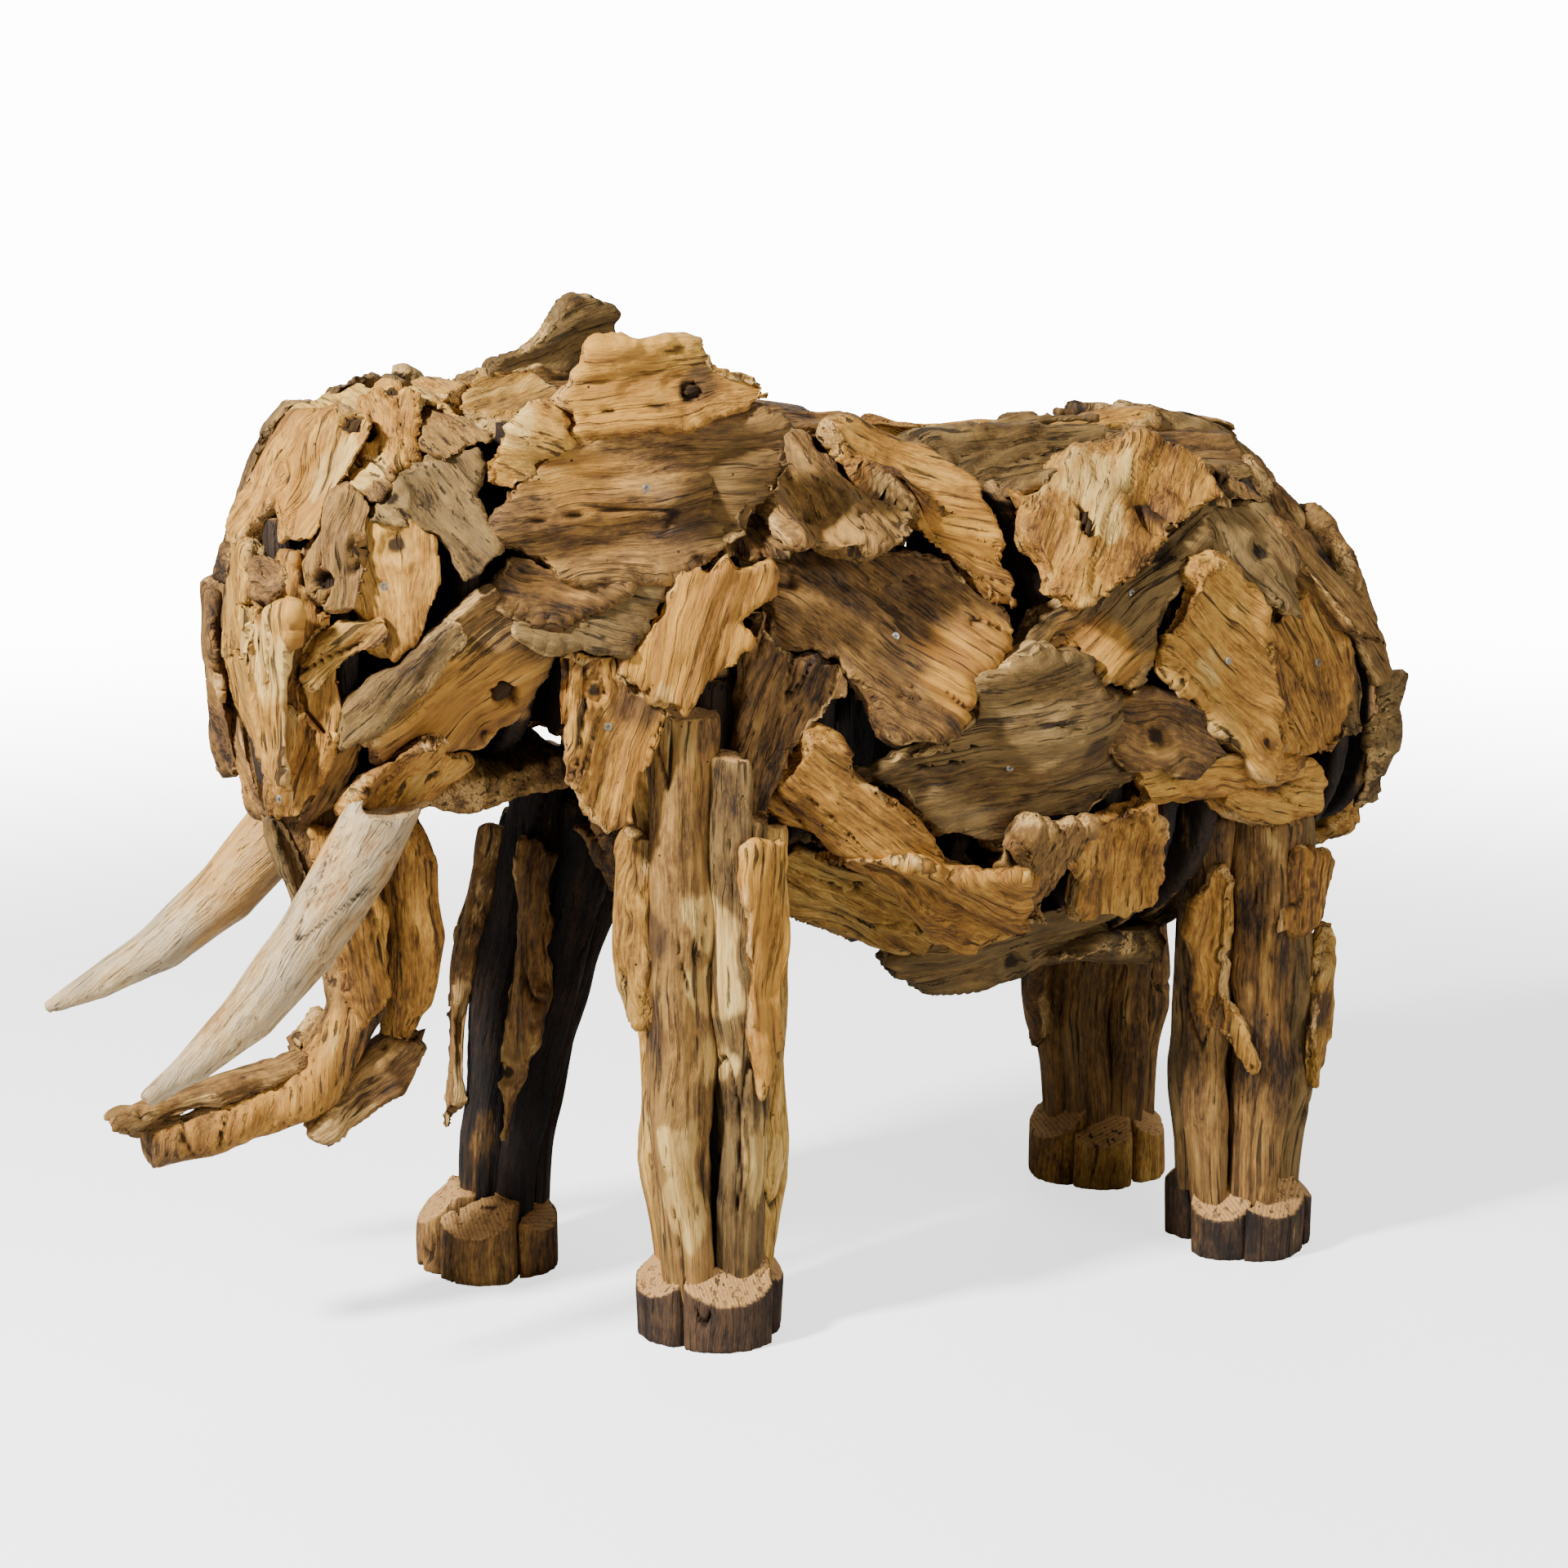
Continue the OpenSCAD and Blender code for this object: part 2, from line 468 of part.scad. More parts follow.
// ---- named groups of slabs, outermost first ----
GROUPS = [
    ["ear_left_crest", [left("ear", lap, ear_t, E_CREST)]],
    ["ear_left_sheet", [left("ear", 0, ear_t, E_SHEET, 1)]],
    ["ear_left_front", [
        left("ear", lap, ear_t, E_FRONT),
        left("ear", 0, ear_t, E_STRIP_A),
        left("ear", 0, ear_t, E_STRIP_B)
    ]],
    ["ear_left_lobe", [left("ear", lap, ear_t, E_LOBE)]],
    ["ear_left_lower", [left("ear", 0, ear_t, E_LOWER, 1)]],
    ["ear_right_crest", [right("ear", lap, ear_t, E_CREST_R)]],
    ["ear_right_sheet", [right("ear", 0, ear_t, E_SHEET, 1)]],
    ["ear_right_front", [
        right("ear", lap, ear_t, E_FRONT),
        right("ear", 0, ear_t, E_STRIP_A),
        right("ear", 0, ear_t, E_STRIP_B)
    ]],
    ["ear_right_lobe", [
        right("ear", lap, ear_t, E_LOBE),
        right("ear", 0, ear_t, E_LOWER, 1)
    ]],
    ["socket_left", [left("side", lap, head_t, H_SOCKET)]],
    ["forehead_left", [
        left("side", lap, head_t, H_FOREHEAD),
        left("side", lap, head_t, H_CROWN),
        left("side", 0, head_t, H_ROUND),
        left("side", 0, head_t, H_TOP),
        left("side", 0, head_t, H_PLUG)
    ]],
    ["brow_left", [left("side", lap, head_t, H_BROW)]],
    ["eye_left", [left("side", lap, head_t, H_EYE)]],
    ["cheek_left", [
        left("side", lap, head_t, H_LIP),
        left("side", lap, head_t, H_CHIP),
        left("side", 0, head_t, H_CHEEK, 1),
        left("side", 0, head_t, H_UNDER)
    ]],
    ["face_left", [
        left("side", lap, head_t, H_STRIP),
        left("side", 0, head_t, H_KNOB),
        left("side", 0, head_t, H_LOWER, 1),
        left("side", 0, head_t, H_CHIN),
        left("side", 0, head_t, H_EDGE_A),
        left("side", 0, head_t, H_EDGE_B)
    ]],
    ["jaw_left", [left("side", 0, head_t, H_JAW)]],
    ["socket_right", [right("side", lap, head_t, H_SOCKET)]],
    ["forehead_right", [
        right("side", lap, head_t, H_FOREHEAD),
        right("side", lap, head_t, H_CROWN),
        right("side", 0, head_t, H_ROUND),
        right("side", 0, head_t, H_TOP),
        right("side", 0, head_t, H_PLUG),
        right("side", lap, head_t, H_BROW)
    ]],
    ["eye_right", [right("side", lap, head_t, H_EYE)]],
    ["cheek_right", [
        right("side", lap, head_t, H_LIP),
        right("side", lap, head_t, H_CHIP),
        right("side", 0, head_t, H_CHEEK, 1),
        right("side", 0, head_t, H_UNDER)
    ]],
    ["face_right", [
        right("side", lap, head_t, H_STRIP),
        right("side", 0, head_t, H_KNOB),
        right("side", 0, head_t, H_LOWER, 1),
        right("side", 0, head_t, H_CHIN),
        right("side", 0, head_t, H_EDGE_A)
    ]],
    ["jaw_right", [right("side", 0, head_t, H_JAW)]],
    ["shoulder_left", [
        left("side", lap, slab_t, S_SHOULDER),
        left("side", lap, slab_t, S_POST),
        left("side", 0, slab_t, S_NECK_TOP)
    ]],
    ["saddle_left", [left("side", lap, slab_t, S_SADDLE)]],
    ["curl_left", [left("side", 0, slab_t, S_CURL, 1)]],
    ["diagonal_left", [left("side", lap, slab_t, S_DIAG)]],
    ["flank_left", [left("side", 0, slab_t, S_FLANK, 1)]],
    ["hip_left_pale", [left("side", lap, slab_t, S_HIP_PALE)]],
    ["hip_left_gold", [left("side", lap, slab_t, S_HIP_GOLD, 1)]],
    ["hip_left_grey", [
        left("side", 0, slab_t, S_HIP_EDGE),
        left("side", 0, slab_t, S_HIP_TRI),
        left("side", 0, slab_t, S_HIP_GREY, 1),
        left("side", lap, slab_t, S_KNOT),
        left("side", 0, slab_t, S_STRIP)
    ]],
    ["hip_left_rear", [
        left("side", lap, slab_t, S_KNEE),
        left("side", lap, slab_t, S_RUMP_THIN),
        left("side", 0, slab_t, S_HIP_REAR, 1),
        left("side", 0, slab_t, S_RUMP_EDGE)
    ]],
    ["belly_left", [
        left("side", lap, slab_t, S_BAND),
        left("side", 0, slab_t, S_MID),
        left("side", 0, slab_t, S_GROIN),
        left("side", lap, slab_t, S_RIM),
        left("side", 0, slab_t, S_KEEL)
    ]],
    ["flank_right_rear", [
        right("side", lap, slab_t, turned(S_SHOULDER)),
        right("side", lap, slab_t, turned(S_POST)),
        right("side", lap, slab_t, turned(S_SADDLE)),
        right("side", 0, slab_t, turned(S_CURL), 1)
    ]],
    ["flank_right_mid", [
        right("side", lap, slab_t, turned(S_DIAG)),
        right("side", 0, slab_t, turned(S_FLANK), 1),
        right("side", lap, slab_t, turned(S_HIP_PALE))
    ]],
    ["flank_right_fore", [
        right("side", lap, slab_t, turned(S_HIP_GOLD), 1),
        right("side", 0, slab_t, turned(S_HIP_EDGE)),
        right("side", 0, slab_t, turned(S_HIP_GREY)),
        right("side", lap, slab_t, turned(S_KNOT)),
        right("side", 0, slab_t, turned(S_STRIP)),
        right("side", 0, slab_t, turned(S_HIP_REAR)),
        right("side", 0, slab_t, S_NECK_TOP),
        right("side", 0, slab_t, S_NECK_LOW)
    ]],
    ["belly_right", [
        right("side", lap, slab_t, turned(S_BAND)),
        right("side", 0, slab_t, turned(S_MID)),
        right("side", 0, slab_t, turned(S_GROIN)),
        right("side", lap, slab_t, turned(S_RIM)),
        right("side", 0, slab_t, turned(S_KEEL))
    ]],
    ["back", [
        left("side", 0, slab_t, S_BACK),
        right("side", 0, slab_t, turned(S_BACK)),
        left("top", lap, slab_t, [[-60, -330], [70, -345], [100, -250], [60, -120], [-20, -110],
            [-70, -200]]),
        left("top", 0, slab_t, [[60, -122], [130, -200], [165, -120], [150, -20], [80, 12], [48, -50]]),
        left("top", 0, slab_t, [[-22, -112], [55, -122], [45, -50], [77, 15], [20, 92], [-52, 62],
            [-62, -30]]),
        left("top", lap, slab_t, [[83, 18], [155, -12], [178, 80], [150, 192], [68, 202], [22, 98]]),
        left("top", 0, slab_t, [[-52, 65], [22, 96], [67, 205], [42, 292], [-52, 302], [-92, 180]]),
        left("top", 0, slab_t, [[72, 206], [150, 196], [168, 300], [132, 392], [48, 382], [43, 293]]),
        left("top", lap, slab_t, [[-52, 306], [42, 297], [46, 386], [32, 472], [-62, 462], [-92, 380]]),
        left("top", 0, slab_t, [[48, 386], [132, 396], [122, 482], [60, 514], [33, 476]]),
        left("top", 0, slab_t, [[80, -342], [162, -322], [150, -228], [64, -126], [104, -250]]),
        left("top", 0, slab_t, [[-172, -300], [-74, -332], [-74, -200], [-88, -108], [-167, -140]]),
        left("top", lap, slab_t, [[-167, -134], [-90, -104], [-70, -30], [-66, 58], [-150, 70],
            [-177, -30]]),
        left("top", 0, slab_t, [[-157, 78], [-66, 72], [-94, 180], [-98, 264], [-167, 244]]),
        left("top", lap, slab_t, [[-167, 248], [-100, 266], [-58, 308], [-94, 382], [-142, 422],
            [-167, 340]])
    ]],
    ["rump", [
        left("rump", lap, slab_t, [[-20, 862], [72, 852], [92, 770], [62, 698], [-32, 688],
            [-62, 780]]),
        left("rump", 0, slab_t, [[74, 852], [180, 800], [202, 710], [110, 686], [72, 700], [94, 770]]),
        left("rump", 0, slab_t, [[-24, 862], [-160, 842], [-202, 740], [-118, 686], [-63, 780]]),
        left("rump", 0, slab_t, [[-120, 690], [-33, 684], [64, 692], [72, 602], [10, 540], [-92, 558]]),
        left("rump", lap, slab_t, [[68, 690], [200, 702], [212, 600], [150, 538], [78, 590]]),
        left("rump", lap, slab_t, [[-123, 682], [-205, 732], [-222, 620], [-160, 538], [-93, 558]]),
        left("rump", 0, slab_t, [[-92, 552], [7, 534], [76, 592], [82, 500], [20, 452], [-76, 464]]),
        left("top", 0, slab_t, [[-64, 466], [30, 476], [62, 518], [42, 588], [-62, 588], [-92, 520]]),
        left("top", 0, slab_t, [[-152, 430], [-94, 388], [-62, 468], [-93, 522], [-112, 562],
            [-162, 500]]),
        left("top", 0, slab_t, [[60, 517], [122, 484], [152, 520], [112, 592], [43, 590]])
    ]],
    ["belly_floor", [
        left("low", lap, slab_t, [[-100, -262], [60, -264], [82, -182], [-16, -114], [-112, -168]]),
        left("low", 0, slab_t, [[84, -182], [150, -250], [168, -120], [122, -62], [-8, -112]]),
        left("low", 0, slab_t, [[-120, -168], [-14, -116], [122, -60], [100, 62], [-42, 84],
            [-142, -22]]),
        left("low", lap, slab_t, [[126, -64], [160, -104], [166, 20], [154, 106], [102, 62]]),
        left("low", 0, slab_t, [[-144, -24], [-42, 84], [-62, 212], [-150, 222], [-178, 100],
            [-168, -40]]),
        left("low", lap, slab_t, [[-40, 88], [100, 66], [160, 120], [140, 250], [20, 284], [-56, 212]]),
        left("low", 0, slab_t, [
            [-70, 220], [-52, 214], [20, 286], [66, 300], [70, 400], [50, 480], [-50, 482], [-70, 400]
        ])
    ]],
    ["chest", [
        left("chest", 0, slab_t, [[-68, 700], [60, 712], [68, 600], [20, 538], [-60, 556]]),
        left("chest", lap, slab_t, [[-60, 560], [18, 538], [66, 592], [68, 500], [0, 452], [-62, 480]])
    ]],
    ["face_front", [
        left("face", 0, head_t, [[-56, 1062], [50, 1066], [62, 985], [16, 938], [-60, 955]]),
        left("face", 0, head_t, [[-60, 958], [14, 940], [50, 915], [44, 820], [-38, 802], [-52, 870]]),
        left("face", 0, head_t, [[-38, 806], [42, 822], [46, 740], [36, 690], [-30, 684], [-46, 730]])
    ]],
    ["crown", [
        left("top", -SINK / 2, head_t, [[-50, -792], [42, -800], [62, -718], [48, -706], [-56, -708]]),
        left("top", -SINK, head_t, [[-60, -704], [50, -712], [84, -646], [22, -588], [-72, -608]]),
        left("top", -SINK / 2, head_t, [[26, -590], [96, -634], [122, -560], [92, -498], [16, -518]]),
        left("top", -SINK, head_t, [[-82, -609], [18, -588], [12, -518], [-60, -478], [-112, -540]]),
        left("top", -SINK, head_t, [[16, -514], [94, -496], [82, -400], [0, -352], [-66, -396],
            [-54, -480]])
    ]],
    ["throat", [
        left("low", 0, head_t, [[-90, -600], [82, -612], [102, -500], [62, -458], [-72, -452],
            [-112, -520]]),
        left("low", lap, head_t, [[-60, -726], [60, -730], [88, -618], [-8, -596], [-92, -604]])
    ]]
];

NG = len(GROUPS);
function first(g) = g == 0 ? 0 : first(g - 1) + len(GROUPS[g - 1][1]);
ALL = [for (g = GROUPS) for (r = g[1]) r];
SPOTS = [for (r = ALL) at(r)];
function near(i, j) = norm(SPOTS[i] - SPOTS[j]) < NEAR;

// slabs of one group keep a small gap, slabs of different groups are scribed to touch
module fitted(i, a)
    difference() {
        raw_slab(ALL[i]);
        for (j = [0:1:i - 1])
            if (near(i, j))
                reach(ALL[j], j < a ? 0 : gap);
        if (norm(SPOTS[i] - FACE_SPOT) < NEAR) {
            limb(TRUNK);
            limb(CURL);
            if (ALL[i][4] != H_SOCKET)
                for (s = [0, 1])
                    mirror([s, 0, 0]) limb(TUSK);
        }
    }

module group(g) {
    a = first(g);
    for (i = [a:1:a + len(GROUPS[g][1]) - 1])
        fitted(i, a);
}

module scribe(p, d)
    difference() {
        children();
        for (j = [0:1:len(ALL) - 1])
            if (norm([SPOTS[j][0] - p[0], SPOTS[j][1] - p[1], SPOTS[j][2] - p[2]]) < d)
                reach(ALL[j]);
    }

// ---- legs: [name, x side, y station, forward step at the floor] ----
LEG_TOP = 770;
LEGS = [["fl", 1, -360, 0], ["fr", -1, -360, 1], ["rl", 1, 360, 0], ["rr", -1, 360, 0]];
function leg_x(i) = LEGS[i][1] * track / 2;
function leg_y(i) = map_y(LEGS[i][2]) - LEGS[i][3] * step_y;
function lean(i) = LEGS[i][3] * atan(step_y / map_z(LEG_TOP));
// logs around a post: angle, radius factor, bottom, top
LOGS = [
    [[-60, 1.12, 92, 740], [5, 1, 100, 690], [62, 0.92, 96, 600], [180, 1, 104, 600],
        [-118, 0.95, 104, 730], [122, 0.85, 96, 560]],
    [[-70, 1.05, 100, 640], [182, 1.08, 92, 640], [-130, 0.95, 98, 560], [0, 1, 94, 590],
        [120, 0.9, 104, 540], [62, 0.85, 100, 560]],
    [[-8, 1.12, 96, 600], [-66, 1, 100, 560], [54, 0.98, 92, 600], [180, 0.95, 98, 540],
        [-122, 0.9, 104, 520], [118, 0.9, 96, 560]],
    [[188, 1.1, 94, 470], [-110, 1, 98, 470], [130, 0.95, 100, 470], [-52, 0.95, 104, 480],
        [8, 0.92, 96, 480], [68, 0.9, 100, 480]]
];
SEAT = 4;

module leg_frame(i)
    translate([leg_x(i), leg_y(i), 0])
        rotate([-lean(i), 0, 0])
        children();

module above_floor(z = 0)
    difference() {
        children();
        translate([-BIG, -2 * BIG, z - BIG]) cube([2 * BIG, 4 * BIG, BIG]);
    }

module post(i)
    above_floor()
    leg_frame(i)
    translate([0, 0, -beam])
    cylinder(r = post_r, h = map_z(LEG_TOP) / cos(lean(i)) + beam);

module log_blank(i, l, g = 0)
    leg_frame(i)
    rotate([0, 0, l[0]])
    translate([post_r + log_r * l[1] - SEAT, 0, g > 0 ? 0 : map_z(l[2])])
    cylinder(r = log_r * l[1] + g, h = g > 0 ? BIG : map_z(l[3] - l[2]));

// room a rib leaves for a whole leg
module leg_clear(i)
    leg_frame(i)
    cylinder(r = post_r + 2 * log_r + 3 * gap, h = map_z(LEG_TOP) / cos(lean(i)));

module leg_blank(i) {
    post(i);
    for (l = LOGS[i])
        log_blank(i, l);
}

// boards pegged on the logs: leg, angle, thickness, outline [across, z]
BOARD_T = 22;
BOARDS = [
    [0, 2, [[-14, 590], [38, 600], [46, 480], [36, 380], [8, 300], [-8, 420]]],
    [0, -92, [[-32, 590], [28, 600], [34, 440], [18, 380], [-12, 420]]],
    [0, 150, [[-40, 560], [20, 540], [30, 260], [-6, 160], [-34, 300]]],
    [1, -40, [[-26, 540], [16, 530], [30, 300], [12, 170], [-10, 300]]],
    [1, -104, [[-34, 520], [24, 540], [32, 200], [-20, 150]]],
    [1, 170, [[-30, 520], [34, 500], [26, 240], [-16, 180]]],
    [2, -46, [[-40, 420], [-12, 500], [14, 490], [4, 350], [52, 262], [48, 242], [-22, 300]]],
    [2, 46, [[-32, 290], [8, 395], [38, 410], [30, 320], [-4, 205]]],
    [2, 10, [[-34, 420], [-10, 520], [52, 500], [36, 430]]],
    [2, 172, [[-34, 480], [30, 470], [22, 170], [-20, 140]]],
    [3, -96, [[-30, 480], [30, 470], [24, 200], [-10, 170]]],
    [3, 176, [[-38, 500], [36, 510], [30, 260], [4, 190], [-30, 330]]]
];
function board_r() = post_r + 2 * log_r - SEAT * 3;

module board_blank(b, g = 0)
    leg_frame(b[0])
    rotate([0, 0, b[1]])
    translate([board_r() - g, 0, 0])
    rotate([90, 0, 90])
    linear_extrude(BOARD_T + 2 * g)
    polygon([for (p = grown(b[2], g)) [p[0], map_z(p[1])]]);

function leg_spot(i) = [leg_x(i), map_y(LEGS[i][2]), map_z(LEG_TOP)];

module leg_logs(i)
    for (k = [0:1:len(LOGS[i]) - 1])
        scribe(leg_spot(i), NEAR * 1.15)
            difference() {
                log_blank(i, LOGS[i][k]);
                post(i);
                cross_blank(sign(LEGS[i][2]));
                for (j = [0:1:k - 1])
                    log_blank(i, LOGS[i][j], gap);
            }

module leg_boards() color(OCHRE)
    for (m = [0:1:len(BOARDS) - 1])
        scribe(leg_spot(BOARDS[m][0]), NEAR * 1.25)
            difference() {
                board_blank(BOARDS[m]);
                leg_blank(BOARDS[m][0]);
                for (j = [0:1:m - 1])
                    if (BOARDS[j][0] == BOARDS[m][0])
                        board_blank(BOARDS[j], gap);
            }

// toe blocks: angle, width factor, height factor, thickness factor
TOES = [
    [[-84, 0.84, 1, 1], [-14, 1.04, 1, 1], [58, 0.8, 1.12, 0.72], [176, 1.08, 1.1, 0.8]],
    [[-106, 0.84, 1.05, 0.96], [-40, 0.92, 1.05, 1], [32, 0.8, 1, 0.8], [166, 1.04, 1.1, 0.9]],
    [[-46, 0.74, 0.92, 0.9], [6, 1, 1, 1], [66, 0.76, 1.04, 1], [190, 1.08, 1, 0.9]],
    [[-88, 0.92, 1.06, 1], [-28, 0.76, 1.04, 1], [194, 1.08, 1, 1], [40, 0.84, 1.08, 0.9]]
];
CHAMFER = 0.42;
TOE_IN = 4;

module toe_blank(i, t, g = 0) {
    w = toe_w * t[1] + 2 * g;
    h = map_z(toe_h * t[2]);
    d = toe_t * t[3];
    translate([leg_x(i), leg_y(i), 0])
        rotate([0, 0, t[0]])
        translate([post_r - TOE_IN, 0, 0])
        difference() {
            intersection() {
                translate([g > 0 ? -post_r * 0.8 : 0, -w / 2, 0]) cube([2 * d, w, g > 0 ? BIG : h]);
                translate([d - w * 0.7, 0, 0]) cylinder(r = w * 0.7 + g, h = g > 0 ? BIG : h);
            }
            if (g == 0)
                translate([d, 0, h * (1 - CHAMFER)])
                rotate([0, -50, 0])
                translate([0, -w, 0])
                cube([w, 2 * w, w]);
        }
}

module foot(i)
    for (k = [0:1:len(TOES[i]) - 1])
        difference() {
            toe_blank(i, TOES[i][k]);
            post(i);
            for (l = LOGS[i])
                log_blank(i, l);
            for (m = [0:1:len(BOARDS) - 1])
                if (BOARDS[m][0] == i)
                    board_blank(BOARDS[m]);
            for (j = [0:1:k - 1])
                toe_blank(i, TOES[i][j], gap);
        }

// ---- round limbs: list of [point, radius] ----
module limb(p)
    for (i = [0:1:len(p) - 2]) {
        d = p[i + 1][0] - p[i][0];
        l = norm(d);
        translate(p[i][0])
            rotate([0, acos(d[2] / l), atan2(d[1], d[0])])
            cylinder(r1 = p[i][1], r2 = p[i + 1][1], h = l);
        if (i > 0)
            translate(p[i][0]) sphere(r = p[i][1] * KNUCKLE);
    }
KNUCKLE = 1.02;

function tr(k) = trunk_r + (trunk_tip_r - trunk_r) * k;
TRUNK = [
    [[0, map_y(-806), map_z(735)], tr(0)],
    [[0, map_y(-796), map_z(640)], tr(0.05)],
    [[0, map_y(-750), map_z(520)], tr(0.2)],
    [[0, map_y(-738), map_z(390)], tr(0.3)],
    [[0, map_y(-788), map_z(308)], tr(0.5)],
    [[0, map_y(-880), map_z(275)], tr(0.8)],
    [[0, map_y(-988), map_z(255)], tr(1)]
];
CURL = [
    [[0, map_y(-694), map_z(622)], trunk_r * 0.6],
    [[0, map_y(-676), map_z(545)], trunk_r * 0.82],
    [[0, map_y(-664), map_z(470)], trunk_r * 0.9],
    [[0, map_y(-674), map_z(395)], trunk_r * 0.74],
    [[0, map_y(-692), map_z(345)], trunk_r * 0.5]
];
function tk(k) = tusk_r + (tusk_tip_r - tusk_r) * k;
TUSK = [
    [[106, map_y(-728), map_z(660)], tk(0)],
    [[124, map_y(-775), map_z(590)], tk(0)],
    [[150, map_y(-845), map_z(505)], tk(0.14)],
    [[172, map_y(-915), map_z(445)], tk(0.36)],
    [[195, map_y(-985), map_z(402)], tk(0.68)],
    [[214, map_y(-1046), map_z(373)], tk(1)]
];
FACE_SPOT = [0, map_y(-780), map_z(700)];

module elevation(p, x0, x1)
    translate([x0, 0, 0])
    rotate([90, 0, 90])
    linear_extrude(x1 - x0)
    polygon([for (q = p) [map_y(q[0]), map_z(q[1])]]);

// boards on the trunk: outline [y, z], near and far side of the centre plane
TRUNK_BOARDS = [
    [[[-840, 622], [-792, 640], [-778, 560], [-786, 500], [-800, 515], [-824, 560]], -25, 25],
    [[[-1034, 294], [-985, 300], [-900, 320], [-850, 330], [-786, 360], [-770, 340], [-860, 285],
        [-980, 262]],
        -20, 20],
    [[[-704, 350], [-664, 354], [-688, 298], [-780, 243], [-806, 258], [-740, 320]], -20, 24],
    [[[-800, 615], [-752, 600], [-716, 500], [-712, 410], [-746, 372], [-764, 460]], 28, 46],
    [[[-806, 600], [-760, 610], [-724, 520], [-722, 430], [-754, 400], [-770, 480]], -46, -28],
    [[[-742, 360], [-760, 320], [-840, 262], [-900, 250], [-905, 285], [-820, 312],
        [-770, 380]], -42, -24]
];

module trunk_boards() color(BROWN)
    for (k = [0:1:len(TRUNK_BOARDS) - 1])
        scribe(FACE_SPOT, NEAR)
            difference() {
                elevation(TRUNK_BOARDS[k][0], TRUNK_BOARDS[k][1], TRUNK_BOARDS[k][2]);
                limb(TRUNK);
                limb(CURL);
                for (j = [0:1:k - 1])
                    elevation(
                        grown(TRUNK_BOARDS[j][0], gap),
                        TRUNK_BOARDS[j][1] - gap,
                        TRUNK_BOARDS[j][2] + gap
                    );
            }

module trunk_log() color(OCHRE)
    difference() {
        limb(TRUNK);
        spine_blank();
        screws();
    }

module trunk_curl() color(OCHRE)
    difference() {
        limb(CURL);
        limb(TRUNK);
    }

module tusk(s)
    mirror([s, 0, 0])
    difference() {
        limb(TUSK);
        reach(left("side", lap, head_t, H_SOCKET));
    }

module tusk_left() color(CREAM) tusk(0);

module tusk_right() color(CREAM) tusk(1);

// ---- inner frame ----
SPINE_Y = [-862, 610];
module spine_blank()
    translate([-beam / 2, map_y(SPINE_Y[0]), map_z(spine_z)])
    cube([beam, map_y(SPINE_Y[1]) - map_y(SPINE_Y[0]), beam]);

module spine() color(FRAME)
    scribe([0, map_y(SPINE_Y[0]), map_z(spine_z)], BIG * 4)
    spine_blank();

function cross_y(s) = map_y(s * 360);
module cross_blank(s)
    translate([-track / 2, cross_y(s) - beam / 2, map_z(spine_z) - beam])
    cube([track, beam, beam]);

module cross_beams() color(FRAME)
    for (s = [-1, 1])
        difference() {
            cross_blank(s);
            for (i = [0:3])
                post(i);
        }

// ear cleats: [y, z] on the outline scale
CLEATS = [[-440, 830], [-440, 990], [-510, 675], [-580, 860], [-580, 1045]];
module cleat_blank(c)
    translate([-ear_at(c[0], c[1]) - beam, map_y(c[0]) - cleat / 2, map_z(c[1]) - cleat / 2])
    cube([2 * (ear_at(c[0], c[1]) + beam), cleat, cleat]);

module ear_cleats() color(FRAME)
    for (c = CLEATS)
        scribe([0, map_y(c[0]), map_z(c[1])], BIG)
            cleat_blank(c);

RIB_OUT = 8;
RIB_N = 40;
// section outline of the body at a station, grown by g
function ring(y, g) = [
    for (i = [0:RIB_N - 1])
        let (t = (i + 0.5) * 360 / RIB_N)
        [
            (map_x(half_w(y), y) + g) * sign(cos(t)) * pow(abs(cos(t)), 2 / ROUND),
            map_z(mid_z(y)) + (map_z(rad_z(y)) + g) * sign(sin(t)) * pow(abs(sin(t)), 2 / ROUND)
        ]
];

module rib_blank(y)
    translate([0, map_y(y) + rib_t / 2, 0])
    rotate([90, 0, 0])
    linear_extrude(rib_t)
    difference() {
        polygon(ring(y, RIB_OUT));
        difference() {
            polygon(ring(y, -rib_d));
            translate([-web_w / 2, 0]) square([web_w, 2 * BIG]);
        }
    }

module rib(y)
    scribe([0, map_y(y), map_z(mid_z(y))], BIG)
    difference() {
        rib_blank(y);
        spine_blank();
        for (s = [-1, 1])
            cross_blank(s);
        for (i = [0:3])
            if (abs(y - LEGS[i][2]) < 130)
                leg_clear(i);
        for (b = BOARDS)
            board_blank(b, gap);
        for (c = CLEATS)
            cleat_blank(c);
        if (y < -600) {
            limb(TRUNK);
            limb(CURL);
            limb(TUSK);
            mirror([1, 0, 0]) limb(TUSK);
        }
    }

module ribs() color(FRAME)
    for (y = concat(TORSO_RIBS, [NECK_RIB], HEAD_RIBS))
        rib(y);

module leg_posts() color(FRAME)
    for (i = [0:3])
        scribe(leg_spot(i), NEAR)
            post(i);

module screw(r) side_of(r)
    face_frame(r)
    translate([r[2] + r[3], 0, 0])
    rotate([0, 90, 0]) {
        cylinder(d = screw_head_d, h = screw_head_h);
        translate([0, 0, -screw_l]) cylinder(d = screw_d, h = screw_l);
    }

module screws() color(STEEL)
    for (r = ALL)
        if (r[5])
            screw(r);

OCHRE = [0.72, 0.50, 0.24];
BROWN = [0.50, 0.36, 0.22];
GREY = [0.56, 0.49, 0.40];
PALE = [0.80, 0.70, 0.52];
DARK = [0.30, 0.21, 0.14];
CREAM = [0.82, 0.77, 0.68];
FRAME = [0.36, 0.27, 0.18];
STEEL = [0.62, 0.62, 0.62];

function find(n) = search([n], GROUPS)[0];

